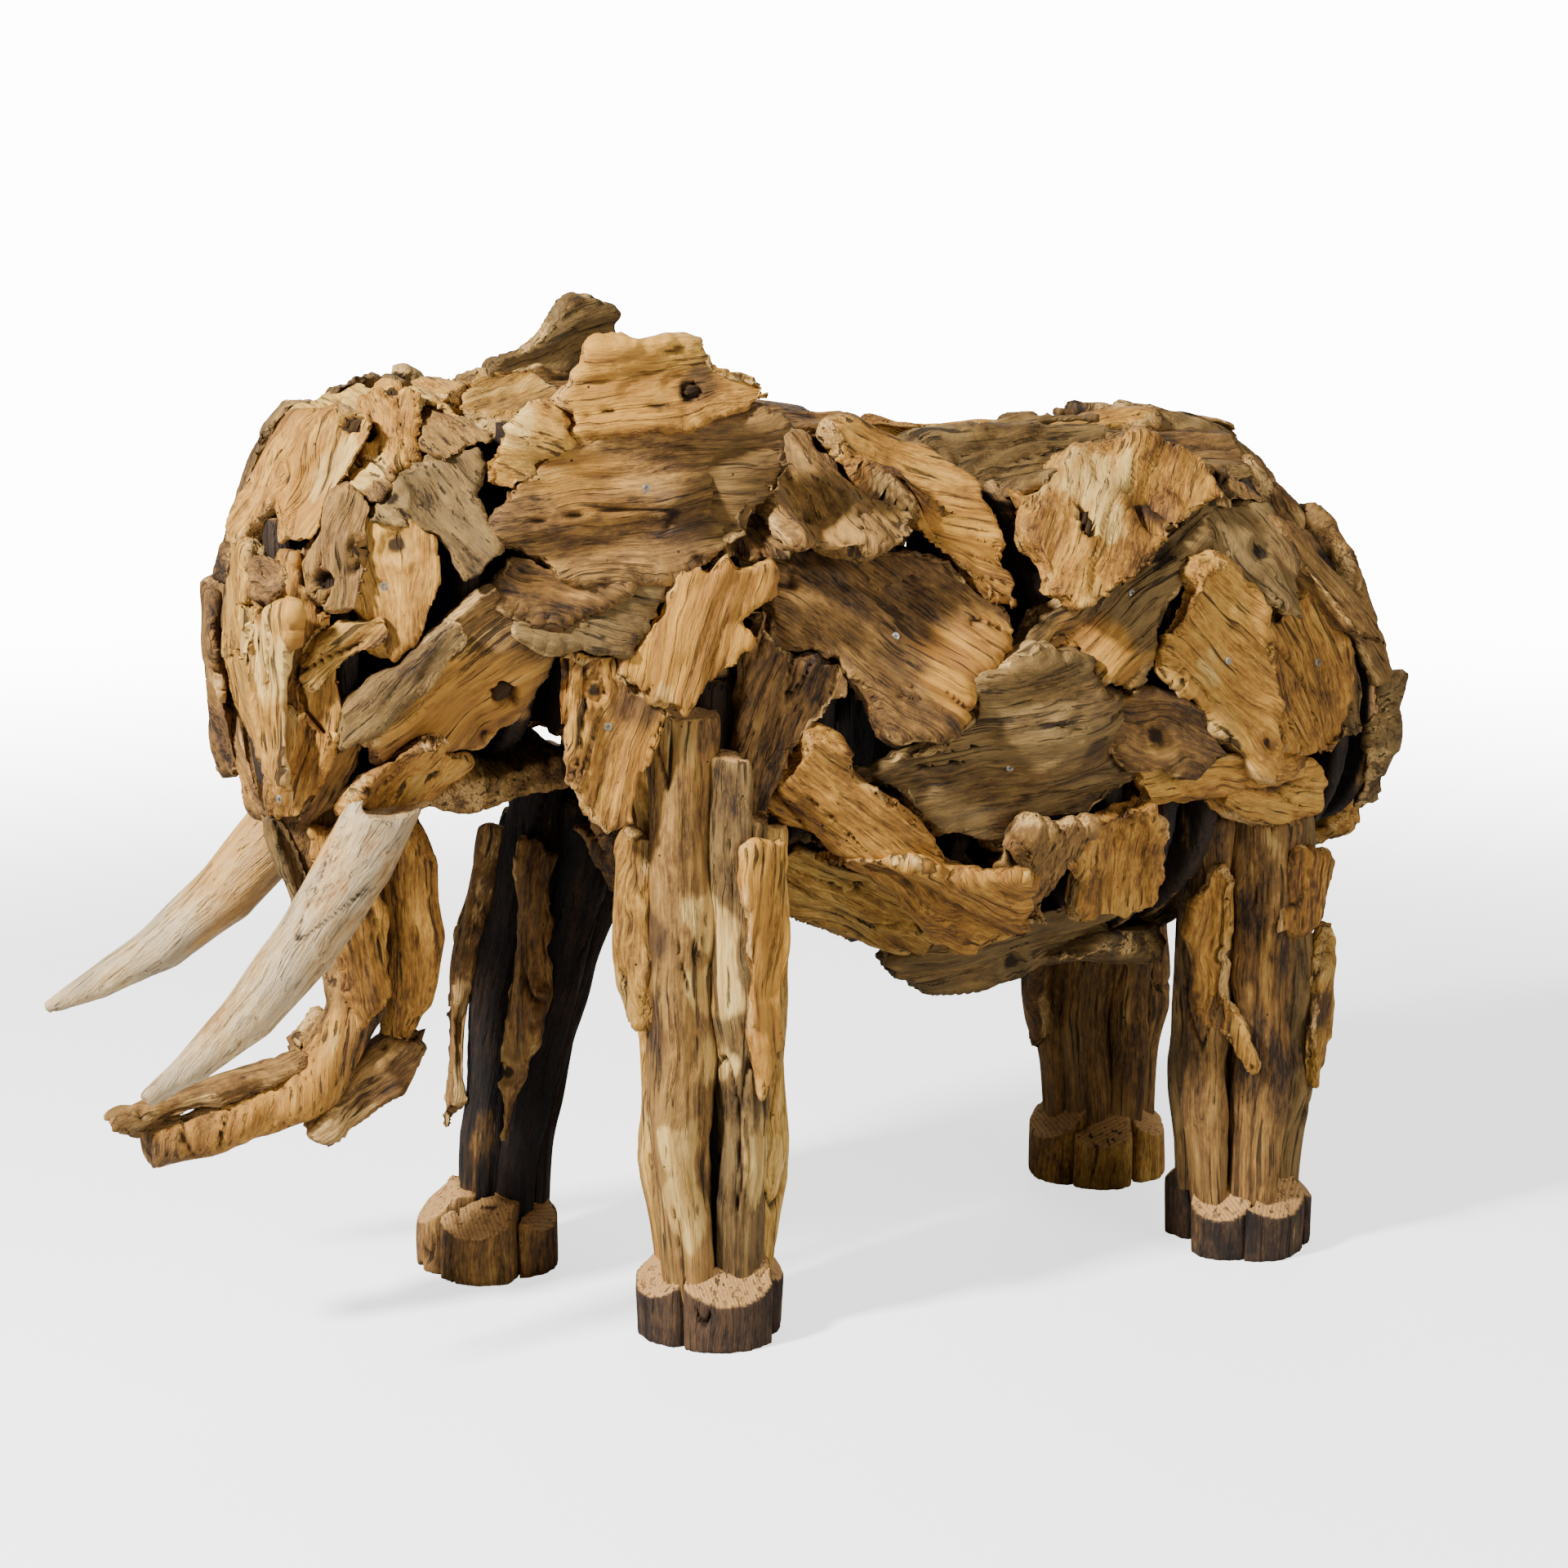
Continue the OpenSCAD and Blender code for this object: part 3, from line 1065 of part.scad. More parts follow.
module ear_left_crest() color(OCHRE) group(find("ear_left_crest"));
module ear_left_sheet() color(BROWN) group(find("ear_left_sheet"));
module ear_left_front() color(PALE) group(find("ear_left_front"));
module ear_left_lobe() color(OCHRE) group(find("ear_left_lobe"));
module ear_left_lower() color(GREY) group(find("ear_left_lower"));
module ear_right_crest() color(DARK) group(find("ear_right_crest"));
module ear_right_sheet() color(BROWN) group(find("ear_right_sheet"));
module ear_right_front() color(GREY) group(find("ear_right_front"));
module ear_right_lobe() color(OCHRE) group(find("ear_right_lobe"));
module socket_left() color(OCHRE) group(find("socket_left"));
module forehead_left() color(OCHRE) group(find("forehead_left"));
module brow_left() color(GREY) group(find("brow_left"));
module eye_left() color(BROWN) group(find("eye_left"));
module cheek_left() color(OCHRE) group(find("cheek_left"));
module face_left() color(PALE) group(find("face_left"));
module jaw_left() color(OCHRE) group(find("jaw_left"));
module socket_right() color(OCHRE) group(find("socket_right"));
module forehead_right() color(GREY) group(find("forehead_right"));
module eye_right() color(BROWN) group(find("eye_right"));
module cheek_right() color(OCHRE) group(find("cheek_right"));
module face_right() color(PALE) group(find("face_right"));
module jaw_right() color(BROWN) group(find("jaw_right"));
module shoulder_left() color(BROWN) group(find("shoulder_left"));
module saddle_left() color(OCHRE) group(find("saddle_left"));
module curl_left() color(BROWN) group(find("curl_left"));
module diagonal_left() color(OCHRE) group(find("diagonal_left"));
module flank_left() color(GREY) group(find("flank_left"));
module hip_left_pale() color(PALE) group(find("hip_left_pale"));
module hip_left_gold() color(OCHRE) group(find("hip_left_gold"));
module hip_left_grey() color(GREY) group(find("hip_left_grey"));
module hip_left_rear() color(OCHRE) group(find("hip_left_rear"));
module belly_left() color(BROWN) group(find("belly_left"));
module flank_right_rear() color(BROWN) group(find("flank_right_rear"));
module flank_right_mid() color(OCHRE) group(find("flank_right_mid"));
module flank_right_fore() color(GREY) group(find("flank_right_fore"));
module belly_right() color(BROWN) group(find("belly_right"));
module back() color(BROWN) group(find("back"));
module rump() color(BROWN) group(find("rump"));
module belly_floor() color(GREY) group(find("belly_floor"));
module chest() color(BROWN) group(find("chest"));
module face_front() color(PALE) group(find("face_front"));
module crown() color(GREY) group(find("crown"));
module throat() color(BROWN) group(find("throat"));

module leg_fl() color(OCHRE) leg_logs(0);
module leg_fr() color(DARK) leg_logs(1);
module leg_rl() color(OCHRE) leg_logs(2);
module leg_rr() color(BROWN) leg_logs(3);

module toes() color(PALE)
    for (i = [0:3])
        foot(i);

module at_origin() translate(ORIGIN) children();

at_origin() ear_left_crest();
at_origin() ear_left_sheet();
at_origin() ear_left_front();
at_origin() ear_left_lobe();
at_origin() ear_left_lower();
at_origin() ear_right_crest();
at_origin() ear_right_sheet();
at_origin() ear_right_front();
at_origin() ear_right_lobe();
at_origin() socket_left();
at_origin() forehead_left();
at_origin() brow_left();
at_origin() eye_left();
at_origin() cheek_left();
at_origin() face_left();
at_origin() jaw_left();
at_origin() socket_right();
at_origin() forehead_right();
at_origin() eye_right();
at_origin() cheek_right();
at_origin() face_right();
at_origin() jaw_right();
at_origin() shoulder_left();
at_origin() saddle_left();
at_origin() curl_left();
at_origin() diagonal_left();
at_origin() flank_left();
at_origin() hip_left_pale();
at_origin() hip_left_gold();
at_origin() hip_left_grey();
at_origin() hip_left_rear();
at_origin() belly_left();
at_origin() flank_right_rear();
at_origin() flank_right_mid();
at_origin() flank_right_fore();
at_origin() belly_right();
at_origin() back();
at_origin() rump();
at_origin() belly_floor();
at_origin() chest();
at_origin() face_front();
at_origin() crown();
at_origin() throat();
at_origin() trunk_log();
at_origin() trunk_curl();
at_origin() trunk_boards();
at_origin() tusk_left();
at_origin() tusk_right();
at_origin() leg_fl();
at_origin() leg_fr();
at_origin() leg_rl();
at_origin() leg_rr();
at_origin() leg_posts();
at_origin() toes();
at_origin() spine();
at_origin() cross_beams();
at_origin() ear_cleats();
at_origin() ribs();
at_origin() leg_boards();
at_origin() screws();
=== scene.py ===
"""Free-standing elephant built up from slabs and logs of teak root, dressed for a soft studio."""

import itertools
import json
import logging
import math
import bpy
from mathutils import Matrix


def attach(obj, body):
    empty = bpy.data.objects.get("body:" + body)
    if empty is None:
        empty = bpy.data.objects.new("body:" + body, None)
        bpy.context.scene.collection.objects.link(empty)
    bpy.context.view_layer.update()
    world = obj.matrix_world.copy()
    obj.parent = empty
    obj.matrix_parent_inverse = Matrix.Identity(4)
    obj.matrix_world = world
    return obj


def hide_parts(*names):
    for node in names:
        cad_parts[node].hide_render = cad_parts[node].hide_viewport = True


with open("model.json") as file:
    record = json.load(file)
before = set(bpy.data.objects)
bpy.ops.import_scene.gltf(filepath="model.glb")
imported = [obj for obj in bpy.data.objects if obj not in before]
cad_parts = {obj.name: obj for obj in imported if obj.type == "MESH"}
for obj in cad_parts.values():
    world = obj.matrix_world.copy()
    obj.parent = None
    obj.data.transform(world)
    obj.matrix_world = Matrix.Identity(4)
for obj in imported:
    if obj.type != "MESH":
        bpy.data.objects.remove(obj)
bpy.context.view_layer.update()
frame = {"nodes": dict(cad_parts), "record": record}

import zlib
from dataclasses import dataclass, field, replace
from enum import Enum

import bmesh
import bpy
import numpy as np
from mathutils import Vector

LOG = logging.getLogger("elephant")
BODY = "root"
Colour = tuple[float, float, float]
Point = tuple[float, float, float]


# ---------------------------------------------------------------- small helpers


def srgb(red: int, green: int, blue: int) -> Colour:
    """Turn a paint-chart colour into the linear values that a shader wants.

    Args:
        red: red from 0 to 255.
        green: green from 0 to 255.
        blue: blue from 0 to 255.

    Returns:
        The linear colour.
    """

    def line(part: float) -> float:
        """Undo the display curve on one part."""
        part /= 255.0
        return part / 12.92 if part <= 0.04045 else ((part + 0.055) / 1.055) ** 2.4

    return (line(red), line(green), line(blue))


def step(low: float, high: float, value: np.ndarray) -> np.ndarray:
    """Rise smoothly from 0 at low to 1 at high.

    Args:
        low: where the rise starts.
        high: where it ends.
        value: the numbers to grade.

    Returns:
        Numbers from 0 to 1.
    """
    t = np.clip((value - low) / (high - low), 0.0, 1.0)
    return t * t * (3.0 - 2.0 * t)


def seed_of(name: str) -> int:
    """Give every piece its own fixed seed."""
    return zlib.crc32(name.encode())


def only(obj: bpy.types.Object) -> None:
    """Select this object alone and make it active."""
    bpy.ops.object.select_all(action="DESELECT")
    obj.select_set(True)
    bpy.context.view_layer.objects.active = obj


def apply_modifier(obj: bpy.types.Object, kind: str, **settings: object) -> None:
    """Add one modifier, set it up and apply it.

    Args:
        obj: the object to change.
        kind: the modifier's type.
        **settings: the modifier's own values.
    """
    only(obj)
    modifier = obj.modifiers.new(kind.lower(), kind)
    for key, value in settings.items():
        setattr(modifier, key, value)
    bpy.ops.object.modifier_apply(modifier=modifier.name)


class GrainNoise:
    """Smooth seeded noise over any number of points at once."""

    def __init__(self, seed: int) -> None:
        """Draw the table of slopes.

        Args:
            seed: the seed of every draw.
        """
        rng = np.random.default_rng(seed)
        self.table = rng.permutation(256)
        slopes = rng.normal(size=(256, 3))
        self.slopes = slopes / np.linalg.norm(slopes, axis=1, keepdims=True)

    def at(self, points: np.ndarray, *scale: float) -> np.ndarray:
        """Read the noise.

        Args:
            points: places, three numbers each, in metres.
            scale: the length of a wave along each axis, in metres.

        Returns:
            One number from about -1 to 1 for each point.
        """
        spread = np.array(scale if len(scale) == 3 else (scale[0],) * 3)
        place = points / spread
        cell = np.floor(place).astype(np.int64)
        part = place - cell
        fade = part**3 * (part * (part * 6.0 - 15.0) + 10.0)
        total = np.zeros(len(points))
        for corner in itertools.product((0, 1), repeat=3):
            at = (cell + corner) & 255
            pick = self.table[(self.table[(self.table[at[:, 0]] + at[:, 1]) & 255] + at[:, 2]) & 255]
            slope = ((part - corner) * self.slopes[pick]).sum(axis=1)
            weight = np.prod(np.where(np.array(corner) == 1, fade, 1.0 - fade), axis=1)
            total += weight * slope
        return total * 1.6


NOISE = GrainNoise(41)


# ---------------------------------------------------------------- shader maths


class Link:
    """A shader socket that can be used in a Python expression."""

    def __init__(self, graph: "Graph", socket: bpy.types.NodeSocket) -> None:
        """Wrap a socket of a graph."""
        self.graph = graph
        self.socket = socket

    def _math(self, operation: str, first: object, second: object = None) -> "Link":
        """Add one Math node.

        Args:
            operation: the node's operation.
            first: a link or a number.
            second: a link or a number, where the operation takes two.

        Returns:
            The node's value.
        """
        sockets = {0: first} if second is None else {0: first, 1: second}
        return self.graph.node("ShaderNodeMath", {"operation": operation}, sockets)

    def __add__(self, other: object) -> "Link":
        """Add."""
        return self._math("ADD", self, other)

    def __radd__(self, other: object) -> "Link":
        """Add to a number."""
        return self._math("ADD", other, self)

    def __sub__(self, other: object) -> "Link":
        """Take away."""
        return self._math("SUBTRACT", self, other)

    def __rsub__(self, other: object) -> "Link":
        """Take from a number."""
        return self._math("SUBTRACT", other, self)

    def __mul__(self, other: object) -> "Link":
        """Multiply."""
        return self._math("MULTIPLY", self, other)

    def __rmul__(self, other: object) -> "Link":
        """Multiply a number."""
        return self._math("MULTIPLY", other, self)

    def __pow__(self, other: object) -> "Link":
        """Raise to a power."""
        return self._math("POWER", self, other)

    def sine(self) -> "Link":
        """Take the sine."""
        return self._math("SINE", self)

    def ramp(self, low: float, high: float) -> "Link":
        """Grade smoothly from 0 at low to 1 at high.

        Args:
            low: where the rise starts.
            high: where it ends.

        Returns:
            A value from 0 to 1.
        """
        settings = {"interpolation_type": "SMOOTHSTEP"}
        return self.graph.node("ShaderNodeMapRange", settings, {0: self, 1: low, 2: high, 3: 0.0, 4: 1.0})


class Graph:
    """The node tree of one material."""

    def __init__(self, name: str) -> None:
        """Start an empty material.

        Args:
            name: the material's name.
        """
        self.material = bpy.data.materials.new(name)
        self.material.use_nodes = True
        self.tree = self.material.node_tree
        self.tree.nodes.clear()

    def node(self, kind: str, settings: dict, sockets: dict, out: int | str = 0) -> Link:
        """Add one node.

        Args:
            kind: the node's type.
            settings: its own values, set first; "stops" is a list of a ramp's places and colours.
            sockets: values or links by the name or number of the socket.
            out: the output to hand back.

        Returns:
            The chosen output.
        """
        made = self.tree.nodes.new(kind)
        for key, value in settings.items():
            if key == "stops":
                self._stops(made.color_ramp, value)
            else:
                setattr(made, key, value)
        for key, value in sockets.items():
            if isinstance(value, Link):
                self.tree.links.new(value.socket, made.inputs[key])
            elif isinstance(value, tuple) and len(value) == 3 and made.inputs[key].type == "RGBA":
                made.inputs[key].default_value = (*value, 1.0)
            else:
                made.inputs[key].default_value = value
        return Link(self, made.outputs[out])

    def _stops(self, ramp: bpy.types.ColorRamp, stops: list[tuple[float, Colour]]) -> None:
        """Set the stops of a colour ramp."""
        while len(ramp.elements) < len(stops):
            ramp.elements.new(1.0)
        for element, (place, colour) in zip(ramp.elements, stops):
            element.position = place
            element.color = (*colour, 1.0)

    def finish(self, skin: Link) -> None:
        """Join the skin to the material's output."""
        made = self.tree.nodes.new("ShaderNodeOutputMaterial")
        self.tree.links.new(skin.socket, made.inputs["Surface"])

    def noise(self, place: Link, stretch: Point, detail: float = 3.0, rough: float = 0.6) -> Link:
        """Read noise in stretched coordinates.

        Args:
            place: the coordinates, in metres.
            stretch: waves to the metre along each axis.
            detail: octaves.
            rough: how much each octave counts.

        Returns:
            A value round one half.
        """
        spread = self.node("ShaderNodeVectorMath", {"operation": "MULTIPLY"}, {0: place, 1: stretch})
        return self.node(
            "ShaderNodeTexNoise",
            {"noise_dimensions": "3D"},
            {"Vector": spread, "Scale": 1.0, "Detail": detail, "Roughness": rough},
        )

    def blend(self, share: object, first: object, second: object, how: str = "MIX") -> Link:
        """Mix two colours.

        Args:
            share: how much of the second colour.
            first: the first colour.
            second: the second colour.
            how: the blend mode.

        Returns:
            The mixed colour.
        """
        settings = {"data_type": "RGBA", "blend_type": how}
        return self.node("ShaderNodeMix", settings, {0: share, 6: first, 7: second}, 2)


# ---------------------------------------------------------------- finishes


@dataclass(frozen=True)
class Timber:
    """One look of teak root: its colours and how worn it is."""

    name: str
    deep: Colour
    mid: Colour
    light: Colour
    worn: Colour
    weather: float = 0.35
    # How strongly the painted shade in the cracks shows.
    crack: float = 0.8
    rough: float = 0.68
    contrast: float = 1.15

    def material(self) -> bpy.types.Material:
        """Build the finish.

        Returns:
            The material, which reads the grain field, the field of worn rims, painted shade in pits and sawn ends, and
            the hue field of a piece.
        """
        g = Graph(self.name)
        grain = g.node("ShaderNodeAttribute", {"attribute_name": "grain"}, {}, "Vector")
        wear = g.node("ShaderNodeAttribute", {"attribute_name": "wear"}, {}, "Vector")
        hue = g.node("ShaderNodeAttribute", {"attribute_name": "hue"}, {}, "Vector")
        rim, pit_shade, cut = (g.node("ShaderNodeSeparateXYZ", {}, {0: wear}, i) for i in range(3))
        tone, stain, warm = (g.node("ShaderNodeSeparateXYZ", {}, {0: hue}, i) for i in range(3))

        drift = g.node("ShaderNodeTexNoise", {"noise_dimensions": "3D"}, {"Vector": grain, "Scale": 8.0}, 1)
        drift = g.node("ShaderNodeVectorMath", {"operation": "SUBTRACT"}, {0: drift, 1: (0.5, 0.5, 0.5)})
        drift = g.node("ShaderNodeVectorMath", {"operation": "MULTIPLY"}, {0: drift, 1: (0.0, 0.03, 0.02)})
        place = g.node("ShaderNodeVectorMath", {"operation": "ADD"}, {0: grain, 1: drift})

        band = g.noise(place, (1.6, 11.0, 11.0), 3.0)
        streak = g.noise(place, (4.5, 75.0, 75.0), 5.0, 0.72)
        fibre = g.noise(place, (30.0, 620.0, 620.0), 2.0)
        patch = g.noise(grain, (5.0, 9.0, 9.0), 4.0)
        spread = g.noise(grain, (11.0, 22.0, 22.0), 4.0, 0.65)
        fleck = g.noise(grain, (70.0, 190.0, 190.0), 3.0, 0.7)

        across = g.node("ShaderNodeVectorMath", {"operation": "MULTIPLY"}, {0: place, 1: (0.05, 1.0, 1.0)})
        radius = g.node("ShaderNodeVectorMath", {"operation": "LENGTH"}, {0: across}, 1)
        rings = ((radius * 1400.0) + band * 9.0).sine() * 0.5 + 0.5

        value = band * 0.4 + streak * 0.45 + fibre * 0.35 + rings * 0.04 + (fleck - 0.5) * 0.4 - 0.12
        value = value + (spread - 0.5) * 0.7
        value = (value - 0.5) * self.contrast + 0.5 + tone * 0.07 + stain * 0.12
        colour = g.node(
            "ShaderNodeValToRGB",
            {"stops": [(0.26, self.deep), (0.48, self.mid), (0.74, self.light)]},
            {0: value},
        )
        grey = (spread - warm * 0.3 + tone * 0.06).ramp(0.66 - self.weather * 0.4, 0.86 - self.weather * 0.3)
        worn = g.blend((streak * 1.4 - 0.2).ramp(0.2, 0.8), tuple(c * 0.4 for c in self.worn), self.worn)
        colour = g.blend(grey * 0.75, colour, worn)
        glow = (warm + (patch - 0.5) * 1.5 + (spread - 0.5) * 0.8).ramp(0.12, 0.6)
        gold = g.blend((streak * 1.3 - 0.2).ramp(0.2, 0.8), srgb(136, 87, 28), srgb(212, 154, 60))
        colour = g.blend(glow * 0.75, colour, gold)
        pale = g.blend((streak * 1.5 - 0.3).ramp(0.1, 0.8), srgb(148, 106, 42), srgb(232, 196, 118))
        light = (stain + (patch - 0.5) * 1.2 + (spread - 0.5) * 1.4 + (streak - 0.5) * 0.6).ramp(0.25, 0.6)
        colour = g.blend(light * 0.8, colour, pale)
        dark = g.blend((streak * 1.5 - 0.3).ramp(0.1, 0.8), srgb(28, 17, 8), srgb(88, 60, 32))
        gloom = ((patch - 0.5) * 1.4 + (spread - 0.5) * 1.4 + (streak - 0.5) * 0.6 - stain).ramp(0.3, 0.74)
        colour = g.blend(gloom * 0.8, colour, dark)

        ends = g.blend(rings * 0.45 + fleck * 0.5, srgb(202, 160, 100), srgb(148, 98, 50))
        colour = g.blend(cut * 0.9, colour, ends)
        ragged = (rim + (streak - 0.5) * 1.6 + (fleck - 0.5) * 0.8 + (spread - 0.5) * 1.2).ramp(0.55, 0.85)
        edge = g.blend((fibre * 1.5 - 0.3).ramp(0.1, 0.8), srgb(126, 89, 42), srgb(214, 176, 110))
        colour = g.blend(ragged * 0.7, colour, edge)
        line = g.noise(place, (5.0, 150.0, 150.0), 3.0, 0.55)
        split = 1.0 - line.ramp(0.36, 0.43)
        worm = 1.0 - g.node("ShaderNodeTexVoronoi", {}, {"Vector": grain, "Scale": 34.0}).ramp(0.035, 0.06)
        # Painted shade: cracks, worm holes and the pits of fissures, holes and knots are darkened to near-black brown,
        # standing in for the shadow inside them.
        hollow_shade = split * self.crack * spread.ramp(0.42, 0.6) + worm * patch.ramp(0.5, 0.6) + pit_shade
        colour = g.blend(hollow_shade.ramp(0.0, 1.0) * 0.94, colour, srgb(30, 18, 9))

        rough = self.rough + (streak - 0.5) * 0.4 + hollow_shade.ramp(0.0, 1.0) * 0.25
        height = streak * 0.4 + fibre * 0.3 + fleck * 0.35 + spread * 0.8 - split * 0.9 - worm * 0.8
        bump = g.node(
            "ShaderNodeBump", {}, {"Strength": 1.0, "Distance": 0.004, "Height": height}, "Normal"
        )
        skin = g.node(
            "ShaderNodeBsdfPrincipled",
            {},
            {"Base Color": colour, "Roughness": rough.ramp(0.0, 1.0), "Normal": bump, "Specular IOR Level": 0.3},
            "BSDF",
        )
        g.finish(skin)
        return g.material


class Finish(Enum):
    """The looks that the pieces are dressed in."""

    GOLD = Timber("teak_gold", srgb(78, 47, 16), srgb(154, 106, 40), srgb(212, 160, 72), srgb(146, 110, 50), 0.35)
    BROWN = Timber("teak_brown", srgb(38, 23, 10), srgb(110, 77, 36), srgb(172, 128, 64), srgb(124, 94, 46), 0.5)
    GREY = Timber("teak_grey", srgb(32, 20, 8), srgb(98, 71, 32), srgb(150, 115, 58), srgb(130, 104, 60), 0.8)
    PALE = Timber("teak_pale", srgb(84, 52, 14), srgb(156, 112, 44), srgb(214, 172, 88), srgb(156, 124, 66), 0.4)
    # Painted shade: a near-black copy of the teak for the far front leg, standing in for the deep shadow that falls on
    # it.
    DARK = Timber("teak_dark", srgb(6, 3, 1), srgb(22, 12, 6), srgb(58, 36, 18), srgb(50, 34, 18), 0.3)
    BARK = Timber("bark_block", srgb(14, 9, 5), srgb(44, 29, 18), srgb(88, 62, 38), srgb(74, 57, 38), 0.5)
    TUSK = Timber(
        "tusk_wood", srgb(140, 100, 54), srgb(190, 156, 104), srgb(226, 200, 150), srgb(186, 166, 134), 0.8, 0.2, 0.5
    )
    FRAME = Timber("rough_board", srgb(14, 8, 4), srgb(34, 22, 12), srgb(56, 38, 22), srgb(42, 32, 22), 0.4)


# ---------------------------------------------------------------- carving


class Cut(Enum):
    """How a piece was cut from the tree."""

    SLAB = "slab"
    LOG = "log"
    BLOCK = "block"


@dataclass(frozen=True)
class Carve:
    """How deep the weather has worked into a piece, in metres."""

    voxel: float = 0.005
    rounds: int = 3
    wobble: float = 0.011
    splinter: float = 0.014
    warp: float = 0.010
    lift: float = 0.085
    cup: float = 0.016
    sink: float = 0.0
    swell: float = 0.007
    flow: float = 0.007
    ridge: float = 0.0022
    tear: float = 0.005
    fissure: float = 0.009
    knob: float = 0.0
    shrink: float = 0.0


@dataclass(frozen=True)
class Mark:
    """A worked or weathered place: where it is, how far it reaches and how strong it is."""

    kind: str
    at: Point
    radius: float
    amount: float = 1.0


@dataclass(frozen=True)
class Barrel:
    """The rounded hindquarters that the slabs at the rear lie round."""

    middle: Point = (0.0, 0.42, 0.70)
    half: Point = (0.335, 0.435, 0.345)
    start: float = 0.40
    end: float = 0.52
    keep: float = 0.25

    def draw_in(self, points: np.ndarray) -> np.ndarray:
        """Bring what stands out of the barrel most of the way back to it.

        Args:
            points: places in the frame.

        Returns:
            The places, drawn in.
        """
        away = (points - np.array(self.middle)) / np.array(self.half)
        away[:, 2] = np.maximum(away[:, 2], 0.0)
        reach = np.sqrt((away**2).sum(axis=1))
        over = np.maximum(reach - 1.0, 0.0) * (1.0 - self.keep)
        share = step(self.start, self.end, points[:, 1]) * step(0.0, 0.12, points[:, 2] - self.middle[2])
        pull = 1.0 - share * over / np.maximum(reach, 1.0)
        return np.array(self.middle) + (points - np.array(self.middle)) * pull[:, None]


BARREL = Barrel()


